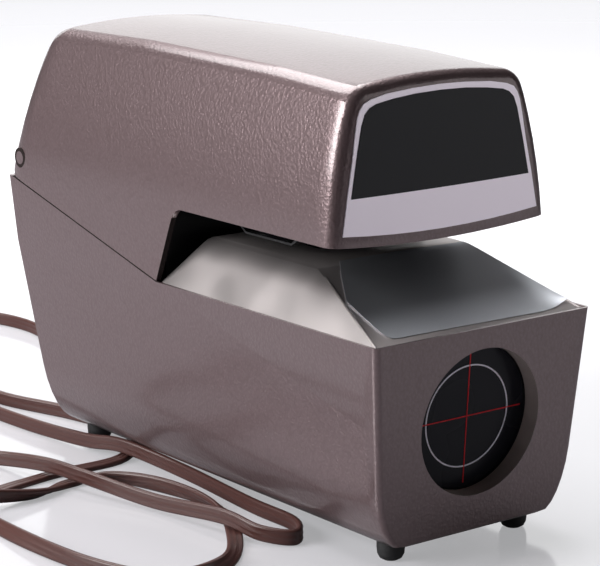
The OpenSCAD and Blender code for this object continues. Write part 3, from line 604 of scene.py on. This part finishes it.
@dataclass
class Studio:
    """The camera at the photograph's place, the floor and the lights.

    Attributes:
        eye: The camera's place.
        yaw: Its heading, in degrees from +Y towards +X.
        pitch: How far it looks down, in degrees.
        roll: Its roll, in degrees.
        focal_px: Its focal length in pixels of the picture.
        floor_near: How much whiter the floor is seen than it is lit, near the machine.
        floor_far: The same far from it.
        floor_from: Distance from the origin where it starts to whiten.
        floor_to: Distance where it is white.
        floor_mirrored: How much whiter it is in reflections.
        lamps: The lights.
    """

    eye: Point = (-0.6883, -0.9286, 0.3619)
    yaw: float = 37.036
    pitch: float = 12.819
    roll: float = -0.432
    focal_px: float = 2395.1
    floor_near: float = 0.36
    floor_far: float = 0.75
    floor_from: float = 0.12
    floor_to: float = 0.95
    floor_mirrored: float = 0.04
    lamps: tuple[Lamp, ...] = (
        Lamp("top", (0.2, 0.9, 1.9), (0.0, 0.0, 0.1), (1.8, 1.8), 55.0),
        Lamp("left", (-1.8, 0.6, 0.9), (0.0, 0.0, 0.1), (1.3, 1.0), 48.0),
        Lamp("back", (1.35, 1.8, 0.68), (0.0, 0.0, 0.2), (2.4, 1.1), 10.0),
        Lamp("front", (1.5, -1.7, 0.35), (0.0, -0.1, 0.12), (1.2, 1.0), 3.8),
    )

    def camera(self) -> None:
        """Makes the camera and sets it as the scene's own."""
        yaw, pitch, roll = (math.radians(v) for v in (self.yaw, self.pitch, self.roll))
        ahead = Vector(
            (math.sin(yaw) * math.cos(pitch), math.cos(yaw) * math.cos(pitch), -math.sin(pitch))
        )
        right = Vector((math.cos(yaw), -math.sin(yaw), 0.0))
        up = right.cross(ahead)
        side = right * math.cos(roll) + up * math.sin(roll)
        top = up * math.cos(roll) - right * math.sin(roll)
        data = bpy.data.cameras.new("camera")
        data.sensor_fit = "HORIZONTAL"
        data.sensor_width = 36.0
        data.lens = self.focal_px * data.sensor_width / IMAGE_WIDTH
        data.clip_start = 0.05
        data.clip_end = 20.0
        camera = added("camera", data)
        turn = Matrix((side, top, -ahead)).transposed().to_4x4()
        camera.matrix_world = Matrix.Translation(Vector(self.eye)) @ turn
        bpy.context.scene.camera = camera

    def floor(self) -> None:
        """Makes the pale, glossy floor."""
        reach = 6.0
        corners = [(-reach, -reach, 0), (reach, -reach, 0), (reach, reach, 0), (-reach, reach, 0)]
        mesh = mesh_of("floor", corners, [(0, 1, 2, 3)])
        piece = added("floor", mesh)
        made = bpy.data.materials.new("floor")
        made.use_nodes = True
        tree = made.node_tree
        shader = tree.nodes["Principled BSDF"]
        fill(shader, {
            "Base Color": (0.36, 0.35, 0.375, 1.0), "Roughness": 0.12,
            "Specular IOR Level": 0.6, "Emission Color": (0.97, 0.975, 1.0, 1.0),
        })
        rays = add(tree, "LightPath")
        mirrored = add(tree, "Math", {1: self.floor_mirrored})
        mirrored.operation = "MULTIPLY"
        coords = add(tree, "TexCoord")
        away = add(tree, "VectorMath")
        away.operation = "LENGTH"
        rise = add(tree, "MapRange", {
            "From Min": self.floor_from, "From Max": self.floor_to,
            "To Min": self.floor_near, "To Max": self.floor_far,
        })
        rise.interpolation_type = "SMOOTHSTEP"
        lift = add(tree, "Math")
        lift.operation = "MULTIPLY_ADD"
        wire(
            tree,
            (coords, "Object", away, 0), (away, "Value", rise, "Value"),
            (rays, "Is Glossy Ray", mirrored, 0), (rays, "Is Camera Ray", lift, 0),
            (rise, "Result", lift, 1), (mirrored, 0, lift, 2),
            (lift, 0, shader, "Emission Strength"),
        )
        mesh.materials.append(made)

    def lights(self) -> None:
        """Adds the soft lights and the surroundings, dim behind the camera and seen as white."""
        for lamp in self.lamps:
            lamp.build()
        world = bpy.data.worlds.new("studio")
        world.use_nodes = True
        tree = world.node_tree
        around = tree.nodes["Background"]
        seen = add(tree, "Background", {"Color": (1.0, 1.0, 1.0, 1.0)})
        coords = add(tree, "TexCoord")
        split = add(tree, "SeparateXYZ")
        towards_left = 0.45
        side = add(tree, "Math", {1: -towards_left})
        side.operation = "MULTIPLY_ADD"
        ramp = add(tree, "MapRange", {
            "From Min": -0.9, "From Max": 0.7, "To Min": 0.05, "To Max": 1.0,
        })
        ramp.interpolation_type = "SMOOTHSTEP"
        rays = add(tree, "LightPath")
        pick = add(tree, "MixShader")
        wire(
            tree,
            (coords, "Generated", split, 0), (split, "X", side, 0), (split, "Y", side, 2),
            (side, 0, ramp, "Value"), (ramp, "Result", around, "Strength"),
            (rays, "Is Camera Ray", pick, "Fac"), (around, 0, pick, 1), (seen, 0, pick, 2),
            (pick, 0, tree.nodes["World Output"], "Surface"),
        )
        bpy.context.scene.world = world
        bpy.context.scene.view_settings.view_transform = "Standard"


# ---- cord


@dataclass
class MainsCord:
    """The flat three-wire cord and its plug.

    Attributes:
        width: The cord's width.
        thick: Its thickness.
        relief: Where the strain relief meets the case's back, in millimetres.
        relief_length: Length of the strain relief, in millimetres.
        stub: Length of straight cord behind it, in millimetres.
        back_lean: Slope of the case's back.
        stand: Height of the cord's middle where it stands on edge on the floor.
        over: The same where it crosses another run.
        flat: The same where it lies flat.
        steps: Points made between two of the route.
    """

    width: float = 0.0078
    thick: float = 0.0029
    relief: Point = (25.0, 132.56, 26.0)
    relief_length: float = 21.0
    stub: float = 12.0
    back_lean: float = 0.189
    stand: float = 3.95
    over: float = 7.6
    flat: float = 1.5
    steps: int = 8

    def route(self) -> list[RoutePoint]:
        """Returns the route as in the part's source, in millimetres, with rolls in degrees."""
        s, o, f = self.stand, self.over, self.flat
        lean = math.atan(self.back_lean)
        x, y, z = self.relief
        ends = [
            (x, y + reach * math.cos(lean), z - reach * math.sin(lean), 0.0)
            for reach in (self.relief_length, self.relief_length + self.stub)
        ]
        return ends + [
            (29, 215, 6, 0), (43, 280, s, 0), (54, 340, s, 0), (38, 386, s, 0),
            (-10, 402, s, 0), (-54, 370, s, 0), (-68, 305, s, 0), (-64, 225, s, 0),
            (-60, 150, s, 0), (-54, 100, 5, 0), (-49, 70, o, 0), (-43, 22, s, 0),
            (-48, -40, s, 0), (-49, -76, s, 0), (-60, -91, s, 0), (-71, -78, 5, 0),
            (-75, -54, o, 0), (-83, -8, 5, 0), (-93, 40, o, 0), (-98, 70, o, 0),
            (-108, 108, s, 0), (-130, 134, s, 0), (-162, 122, s, 0), (-172, 80, 5, 0),
            (-155, 48, o, 0), (-120, 42, 3, 45), (-94, 50, f, 90), (-76, 44, 3, 45),
            (-64, 12, s, 0), (-60, -28, 3, 45), (-74, -62, f, 90), (-104, -98, 3.5, 30),
            (-138, -100, s, 0), (-155, -62, s, 0), (-158, 5, 3, 45), (-148, 52, f, 90),
            (-98, 67, f, 90), (-50, 70, f, 90), (-24, 104, 3.5, 30), (-30, 150, s, 0),
            (-45, 205, s, 0), (-46, 240, 10, 0), (-46, 256, 11, 0),
        ]

    def points(self) -> list[RoutePoint]:
        """Returns the smooth path, each point with its roll in degrees."""
        route = self.route()
        made = []
        for i in range(len(route) - 1):
            a, b = route[max(i - 1, 0)], route[i]
            c, d = route[i + 1], route[min(i + 2, len(route) - 1)]
            for step in range(self.steps):
                t = step / self.steps
                made.append(tuple(
                    0.5 * (2 * q + (r - p) * t + (2 * p - 5 * q + 4 * r - w) * t * t
                           + (3 * q - p - 3 * r + w) * t * t * t)
                    for p, q, r, w in zip(a, b, c, d)
                ))
        made.append(tuple(float(v) for v in route[-1]))
        return made

    def section(self) -> list[Spot]:
        """Returns the outline of three joined round ribs, across and through the cord."""
        least_side = 0.00008
        rib = self.width / 6.0
        outline = []
        for centre, angles in (
            (2 * rib, range(-120, 121, 30)), (0.0, range(60, 121, 20)),
            (-2 * rib, range(60, 301, 30)), (0.0, range(240, 301, 20)),
        ):
            for angle in angles:
                a = math.radians(angle)
                outline.append((centre + rib * math.cos(a), self.thick / 2 * math.sin(a)))
        kept = [outline[0]]
        for point in outline[1:]:
            if math.dist(point, kept[-1]) > least_side:
                kept.append(point)
        return kept

    def build(self) -> None:
        spots = self.points()
        path = [Vector(p[:3]) * MM for p in spots]
        outline = self.section()
        rings = []
        for i, centre in enumerate(path):
            ahead = (path[min(i + 1, len(path) - 1)] - path[max(i - 1, 0)]).normalized()
            side = ahead.cross(Vector((0, 0, 1))).normalized()
            up = side.cross(ahead)
            roll = math.radians(spots[i][3])
            wide = up * math.cos(roll) + side * math.sin(roll)
            thin = side * math.cos(roll) - up * math.sin(roll)
            rings.append([centre + wide * u + thin * v for u, v in outline])
        mesh = tube_mesh("mains_cord", path, rings)
        cord = link("mains_cord", mesh, CORD, "base")
        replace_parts(cord, "power_cord")


# ---- the machine


@dataclass(frozen=True)
class Window:
    """The round window in the leaning front of the base.

    Attributes:
        height: Height of its centre.
        radius: Its radius.
    """

    height: float = 0.0615
    radius: float = 0.0348

    @property
    def ahead(self) -> Vector:
        """The direction square to the front."""
        lean = math.atan(FRONT_LEAN)
        return Vector((0.0, -math.cos(lean), -math.sin(lean)))

    @property
    def rise(self) -> Vector:
        """The direction up along the front."""
        lean = math.atan(FRONT_LEAN)
        return Vector((0.0, -math.sin(lean), math.cos(lean)))

    @property
    def centre(self) -> Vector:
        """The centre of the window's rim."""
        return Vector((0.0, FRONT_Y + FRONT_LEAN * (RIM_Z - self.height), self.height))


WINDOW = Window()


@dataclass
class Case:
    """The base, the cover and the deck.

    Attributes:
        edge: Width of the softened edges.
        low: Height where the cover's sides begin to draw in.
        draft: Slope of the sides there.
        draft_ease: Height over which that slope sets in.
        bow: How much the sides bow in above it, per metre squared.
        crown: How much the roof falls to its sides, per metre squared.
        ridge: Slopes of the roof from front to back: a place along Y and the slope there.
        bore_coat: Depth to which the window's bore is painted.
        chip_count: Number of bare flakes on the window's rim.
        seam_line: Lower and upper end of the seam, each its y and z.
        seam_reach: Heights under and over the seam between which faces get a painted shade.
        seam_side: The seam shows farther than this from the middle.
        fold_band: Heights where the deck's side slopes begin and end to round over.
    """

    edge: float = 0.0009
    low: float = 0.1447
    draft: float = 0.055
    draft_ease: float = 0.024
    bow: float = 2.2
    crown: float = 1.5
    ridge: tuple[Spot, ...] = (
        (-0.118, 0.075), (-0.09, 0.05), (-0.04, 0.026),
        (0.02, 0.014), (0.09, -0.006), (0.13, -0.03),
    )
    bore_coat: float = 0.0089
    chip_count: int = 24
    seam_line: tuple[Spot, Spot] = ((0.0148, 0.106), (0.1492, 0.1395))
    seam_reach: Spot = (-0.00022, 0.00072)
    seam_side: float = 0.052
    fold_band: Spot = (0.116, 0.1288)

    def slope_up(self, z: float) -> float:
        """Returns how much a side leans in at a height, eased round the start of the draft."""
        above = z - self.low
        share = min(1.0, max(0.0, (above + self.draft_ease / 2) / self.draft_ease))
        return self.draft * share * share * (3 - 2 * share) + 2 * self.bow * max(0.0, above)

    def slope_along(self, y: float) -> float:
        """Returns the roof's slope at a place along the machine."""
        spots = self.ridge
        if y <= spots[0][0]:
            return spots[0][1]
        for (y0, a), (y1, b) in zip(spots, spots[1:]):
            if y <= y1:
                return a + (b - a) * (y - y0) / (y1 - y0)
        return spots[-1][1]

    def even(self, piece: Object) -> None:
        """Gives the cover's sides and roof the normals of one smooth form.

        Args:
            piece: The cover.
        """
        # Faces and corners that count as part of a side or of the roof, by their normals
        side_face, side_corner = 0.88, 0.8
        roof_face, roof_corner, roof_low = 0.93, 0.9, 0.19
        cuts = [(Vector((0, 0, z * MM)), Vector((0, 0, 1))) for z in range(112, 214, 6)]
        cuts += [(Vector((0, y * MM, 0)), Vector((0, 1, 0))) for y in range(-110, 140, 12)]
        mesh = piece.data
        cut_faces(mesh, cuts)
        made = [Vector(n.vector) for n in mesh.corner_normals]
        for face in mesh.polygons:
            for corner in face.loop_indices:
                spot = mesh.vertices[mesh.loops[corner].vertex_index].co
                normal = made[corner]
                on_side = abs(face.normal.x) > side_face and face.normal.x * spot.x > 0
                on_roof = face.normal.z > roof_face and spot.z > roof_low
                if on_side and abs(normal.x) > side_corner:
                    normal.z = self.slope_up(spot.z) * abs(normal.x)
                elif on_roof and normal.z > roof_corner:
                    normal.x = 2 * self.crown * spot.x
                    normal.y = -self.slope_along(spot.y)
                normal.normalize()
        mesh.normals_split_custom_set(made)

    def seam_cuts(self) -> tuple[Cut, ...]:
        """Returns the planes under and over the seam that bound its painted shade, each a point and
        a normal.
        """
        (y_low, z_low), (y_high, z_high) = self.seam_line
        up = Vector((0.0, z_low - z_high, y_high - y_low)).normalized()
        foot = Vector((0.0, y_low, z_low))
        return tuple((foot + up * height, up) for height in self.seam_reach)

    def fold(self, piece: Object) -> None:
        """Tilts the normals of the deck's side slopes below its plateau, so that they seem to round
        over gently.

        Args:
            piece: The deck.
        """
        steps, least_up, least_across, most = 14, 0.4, 0.3, 0.9
        low, high = self.fold_band
        mesh = piece.data
        up = Vector((0, 0, 1))
        part_faces(mesh, [(up * (low + (high - low) * i / steps), up) for i in range(steps)])
        made = [Vector(n.vector) for n in mesh.corner_normals]
        for face in mesh.polygons:
            if face.normal.z < least_up or abs(face.normal.x) < least_across:
                continue
            for corner in face.loop_indices:
                share = (mesh.vertices[mesh.loops[corner].vertex_index].co.z - low) / (high - low)
                share = min(max(share, 0.0), 1.0)
                made[corner] = made[corner].lerp(up, most * share * share).normalized()
        mesh.normals_split_custom_set(made)

    def seam(self, piece: Object) -> None:
        """Paints a shade along the gap between the base and the cover; darkens the throat's edge
        and paints a highlight along its rim.

        Args:
            piece: The base or the cover.
        """
        mesh = piece.data
        mesh.materials.append(SEAM_SHADE_AND_BUSH_BLACK.material())
        mesh.materials.append(CHIP_AND_EDGE_GLINT.material())
        dark = len(mesh.materials) - 2
        (y_low, z_low), (y_high, _) = self.seam_line
        low, high = self.seam_cuts()
        throat_reach, facing, glancing, aside = 0.02, -0.88, -0.7, 0.3
        for face in mesh.polygons:
            spot, normal = face.center, face.normal
            if abs(spot.x) <= self.seam_side:
                continue
            # A band inside the gap and on the faces beside it gets a painted shade.
            between = (spot - low[0]).dot(low[1]) > 0 > (spot - high[0]).dot(high[1])
            if between and y_low < spot.y < y_high:
                face.material_index = dark
            # The throat's edge: its forward faces are made dark, and its glancing faces get the
            # pale finish as a painted highlight.
            throat = z_low < spot.z < self.low and abs(spot.y - y_low) < throat_reach
            if throat and normal.y < facing:
                face.material_index = dark
            elif throat and normal.y < glancing and abs(normal.x) > aside:
                face.material_index = dark + 1

    def bore(self, piece: Object) -> None:
        """Gives the window's bore a thin coat outside, paler than the case paint as a painted
        light, and a black ring inside.

        Args:
            piece: The base.
        """
        ahead, centre = WINDOW.ahead, WINDOW.centre
        margin = 0.0004
        mesh = piece.data
        cut_faces(mesh, [(centre - ahead * self.bore_coat, ahead)])
        # The coat is paler than the case paint: painted light in the bore.
        mesh.materials.append(BORE_WITH_PAINTED_LIGHT.material())
        mesh.materials.append(BLACK.material())
        for face in mesh.polygons:
            arm = face.center - centre
            depth = -arm.dot(ahead)
            out = arm + ahead * depth
            inside = out.length < WINDOW.radius + margin and depth > margin
            if inside and face.normal.dot(out) < 0:
                face.material_index = 1 if depth < self.bore_coat else 2

    def chips(self) -> None:
        """Scatters small bare flakes on the lower right of the window's rim."""
        ahead, rise, right = WINDOW.ahead, WINDOW.rise, Vector((1, 0, 0))
        corners, jitter = 6, 0.35
        under, over, clear = 0.00012, 0.00004, 0.00003
        # How far the middle of the softened edge lies under the sharp one
        sunk = 0.29 * self.edge
        draw = random.Random(11)
        points, faces = [], []
        for _ in range(self.chip_count):
            turn = math.radians(draw.uniform(-78, -28))
            radial = right * math.cos(turn) + rise * math.sin(turn)
            along = rise * math.cos(turn) - right * math.sin(turn)
            out = (ahead - radial).normalized()
            middle = WINDOW.centre + radial * (WINDOW.radius + sunk) - ahead * sunk + out * clear
            long, wide = draw.uniform(0.0002, 0.0009), draw.uniform(0.00012, 0.0003)
            slant = out.cross(along).normalized()
            first = len(points)
            for k in range(corners):
                a = 2 * math.pi * k / corners + draw.uniform(-jitter, jitter)
                spot = middle + along * (long * math.cos(a)) + slant * (wide * math.sin(a))
                points += [spot - out * under, spot + out * over]
            faces.append([first + 2 * k + 1 for k in range(corners)])
            faces.append([first + 2 * k for k in reversed(range(corners))])
            for k in range(corners):
                a, b = first + 2 * k, first + 2 * ((k + 1) % corners)
                faces.append([a, b, b + 1, a + 1])
        link("rim_chips", mesh_of("rim_chips", points, faces), CHIP_AND_EDGE_GLINT, "base")

    def build(self) -> None:
        """Replaces the shells by softened copies."""
        cuts = self.seam_cuts()
        base = dressed_copy(
            "base_case", "case_base", CASE, "base", self.edge, cuts=cuts
        )
        self.bore(base)
        self.seam(base)
        self.chips()
        cover = dressed_copy(
            "cover", "case_cover", CASE, "cover", self.edge, weigh=False, cuts=cuts
        )
        self.even(cover)
        self.seam(cover)
        self.fold(
            dressed_copy("deck_plate", "deck_sheet", STAINLESS, "base", angle=50.0)
        )


@dataclass
class Indicator:
    """The marks on the indicator disc: a pale ring and thin red cross lines.

    Attributes:
        depth: How far the disc's face lies behind the front.
        ring_r: Radius of the ring.
        ring_w: Width of the ring.
        line_w: Width of the lines.
        reach: Half the lines' length.
    """

    depth: float = 0.0098
    ring_r: float = 0.0241
    ring_w: float = 0.0007
    line_w: float = 0.00055
    reach: float = 0.0322

    def place(self, x: float, up: float, out: float) -> Vector:
        """Returns a point on the disc.

        Args:
            x: Distance to the right of its middle.
            up: Distance up along it.
            out: Distance in front of its face.

        Returns:
            The point in the row frame.
        """
        middle = WINDOW.centre - WINDOW.ahead * (self.depth - out)
        return middle + WINDOW.rise * up + Vector((x, 0, 0))

    def ring(self) -> Mesh:
        """Makes the ring's mesh."""
        count, height = 96, 0.00015
        points, faces = [], []
        for i in range(count):
            a = 2 * math.pi * i / count
            for radius in (self.ring_r - self.ring_w / 2, self.ring_r + self.ring_w / 2):
                for out in (0.0, height):
                    points.append(self.place(radius * math.cos(a), radius * math.sin(a), out))
        for i in range(count):
            a, b = 4 * i, 4 * ((i + 1) % count)
            faces += [(a + 1, a + 3, b + 3, b + 1), (a, a + 1, b + 1, b),
                      (a + 3, a + 2, b + 2, b + 3), (a + 2, a, b, b + 2)]
        return mesh_of("disc_ring", points, faces)

    def line(self, name: str, level: bool) -> Mesh:
        """Makes the mesh of one line across the disc.

        Args:
            name: The mesh's name.
            level: Whether the line is level, or upright.

        Returns:
            The mesh.
        """
        half, height = self.line_w / 2, 0.0002
        points = []
        for u in (-self.reach, self.reach):
            for v in (-half, half):
                for out in (0.0, height):
                    points.append(self.place(*((u, v) if level else (v, u)), out))
        faces = [(0, 1, 3, 2), (4, 6, 7, 5), (0, 4, 5, 1), (2, 3, 7, 6), (1, 5, 7, 3), (0, 2, 6, 4)]
        return mesh_of(name, points, faces)

    def build(self) -> None:
        """Makes the ring and the lines, which turn with the disc."""
        link("disc_ring", self.ring(), RING, "indicator")
        for name, level in (("disc_line_level", True), ("disc_line_upright", False)):
            link(name, self.line(name, level), RED, "indicator")


@dataclass
class DeckSeams:
    """The folded edges of the deck's sheet beside its two front hips.

    Attributes:
        foot: Half width, y and z where a hip starts, in millimetres.
        run: How far the hip goes inward, back and up, in millimetres.
        first: Share of the hip where the fold starts.
        last: Share where it ends.
        width: Width of the fold, in millimetres.
        height: Its height over the sheet, in millimetres.
        inset: How far it stays inside the hip, in millimetres.
    """

    foot: Point = (61.8, -152.3, 104.7)
    run: Point = (17.8, 66.0, 24.3)
    first: float = 0.03
    last: float = 0.85
    width: float = 1.5
    height: float = 0.2
    inset: float = 0.3

    def build(self) -> None:
        """Makes a low rounded strip along each hip."""
        steps = 14
        tilt = math.atan(self.run[2] / self.run[1])
        section = [(k / 6, math.sin(math.pi * k / 6) ** 0.5) for k in range(7)]
        section += [(1.0, -0.5), (0.0, -0.5)]
        for side, name in ((-1, "deck_seam_left"), (1, "deck_seam_right")):
            path, rings = [], []
            for i in range(steps + 1):
                share = self.first + (self.last - self.first) * i / steps
                half = self.foot[0] - self.run[0] * share - self.inset
                y, z = (self.foot[k] + self.run[k] * share for k in (1, 2))
                ring = []
                for across, up in section:
                    rise = up * self.height
                    x = side * (half - across * self.width)
                    spot = (x, y - rise * math.sin(tilt), z + rise * math.cos(tilt))
                    ring.append(Vector(spot) * MM)
                rings.append(ring if side < 0 else ring[::-1])
                path.append(sum(ring, Vector()) / len(ring))
            link(name, tube_mesh(name, path, rings), STAINLESS, "base")


@dataclass
class Label:
    """The bare foil label on the deck's front slope, with a cut, curled corner.

    Attributes:
        lift: Height of the sheet over the deck, in millimetres.
        thick: Its thickness, in millimetres.
        curl: Height of the curled corner, in millimetres.
        curl_reach: How far from its corner the sheet curls, in millimetres.
        bottom: Points of its lower edge in plan, from left to right, in millimetres.
        top: Points of its upper edge, from left to right.
        left: Points of its left edge, from the bottom.
        right: Points of its right edge, from the bottom.
    """

    lift: float = 0.24
    thick: float = 0.2
    curl: float = 1.5
    curl_reach: float = 14.0
    bottom: tuple[Spot, ...] = (
        (-48.3, -146.6), (-45, -147.2), (-20, -147.4), (20, -148), (39, -148.4), (47, -147.4),
        (57, -144.6),
    )
    top: tuple[Spot, ...] = ((-29.5, -85.5), (0, -85.5), (43.8, -87))
    left: tuple[Spot, ...] = (
        (-48.3, -146.6), (-50.2, -143.6), (-50.7, -138.8), (-50.3, -129), (-49.6, -116),
        (-38.3, -98), (-29.5, -85.5),
    )
    right: tuple[Spot, ...] = (
        (57, -144.6), (56.6, -137.8), (52.9, -122), (49.2, -108), (46, -95.5), (43.8, -87),
    )

    @staticmethod
    def along(line: tuple[Spot, ...], share: float) -> Vector:
        """Returns the point at a share of the length of a line of straight parts.

        Args:
            line: The line's points.
            share: The share, 0 to 1.

        Returns:
            The point in plan, in millimetres.
        """
        spots = [Vector(p) for p in line]
        parts = [(b - a).length for a, b in zip(spots, spots[1:])]
        left = share * sum(parts)
        for a, b, part in zip(spots, spots[1:], parts):
            if left <= part:
                return a.lerp(b, left / part)
            left -= part
        return spots[-1]

    def plan(self, u: float, v: float) -> Vector:
        """Returns the point in plan at a share of the label's width and height.

        Args:
            u: Share from left to right.
            v: Share from bottom to top.

        Returns:
            The point, in millimetres, on a patch between the four edges.
        """
        low_left, low_right = Vector(self.bottom[0]), Vector(self.bottom[-1])
        top_left, top_right = Vector(self.top[0]), Vector(self.top[-1])
        spot = self.along(self.bottom, u) * (1 - v) + self.along(self.top, u) * v
        spot += self.along(self.left, v) * (1 - u) + self.along(self.right, v) * u
        spot -= (low_left * (1 - u) + low_right * u) * (1 - v)
        spot -= (top_left * (1 - u) + top_right * u) * v
        return spot

    def build(self) -> None:
        """Lays the sheet on the deck."""
        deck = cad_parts["deck_plate"].data
        tree = BVHTree.FromPolygons(
            [v.co for v in deck.vertices], [f.vertices[:] for f in deck.polygons]
        )
        across, deep, drop_from = 56, 36, 0.2
        under, over = [], []
        for j in range(deep + 1):
            for i in range(across + 1):
                spot = self.plan(i / across, j / deep)
                place, normal, _, _ = tree.ray_cast(
                    Vector((spot.x * MM, spot.y * MM, drop_from)), Vector((0, 0, -1))
                )
                near = max(0.0, 1 - math.dist(spot, self.bottom[-1]) / self.curl_reach)
                rise = (self.lift + self.curl * near * near) * MM
                under.append(place + normal * rise)
                over.append(place + normal * (rise + self.thick * MM))
        row, layer = across + 1, len(under)
        faces = []
        for j in range(deep):
            for i in range(across):
                a = j * row + i
                faces.append((a, a + row, a + row + 1, a + 1))
                faces.append((layer + a, layer + a + 1, layer + a + row + 1, layer + a + row))
        rim = list(range(across)) + [j * row + across for j in range(deep)]
        rim += [deep * row + i for i in range(across, 0, -1)]
        rim += [j * row for j in range(deep, 0, -1)]
        for a, b in zip(rim, rim[1:] + rim[:1]):
            faces.append((a, b, layer + b, layer + a))
        mesh = mesh_of("foil_sheet", under + over, faces)
        smooth(mesh, 60.0)
        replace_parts(link("foil_sheet", mesh, FOIL, "base"), "foil_label")


@dataclass
class ReturnSpring:
    """The spring that shortens under the plunger's collar.

    Attributes:
        travel: How far the plunger goes down. Not used.
    """

    travel: float = 0.006257

    def build(self) -> None:
        """Replaces the CAD spring by a smooth-shaded copy with joined vertices, which rides on the
        base.
        """
        join_reach = 0.00001
        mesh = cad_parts["return_spring"].data.copy()
        with edited(mesh) as work:
            bmesh.ops.remove_doubles(work, verts=work.verts, dist=join_reach)
        smooth(mesh, 70.0)
        piece = link("coil_spring", mesh, STEEL, "base")
        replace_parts(piece, "return_spring")
        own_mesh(piece)


def dress_nodes() -> None:
    """Gives every CAD node its finish."""
    for finish, nodes in NODE_FINISH.items():
        for node in nodes:
            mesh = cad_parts[node].data
            mesh.materials.clear()
            mesh.materials.append(finish.material())


def main() -> None:
    """Builds the scene in order."""
    logging.basicConfig(level=logging.INFO, format="%(name)s: %(message)s")
    studio = Studio()
    studio.camera()
    MainsCord().build()
    dress_nodes()
    for part in (Case(), Indicator(), ReturnSpring(), DeckSeams(), Label()):
        part.build()
        LOG.info("built %s", type(part).__name__)
    studio.floor()
    studio.lights()


if __name__ == "__main__":
    main()
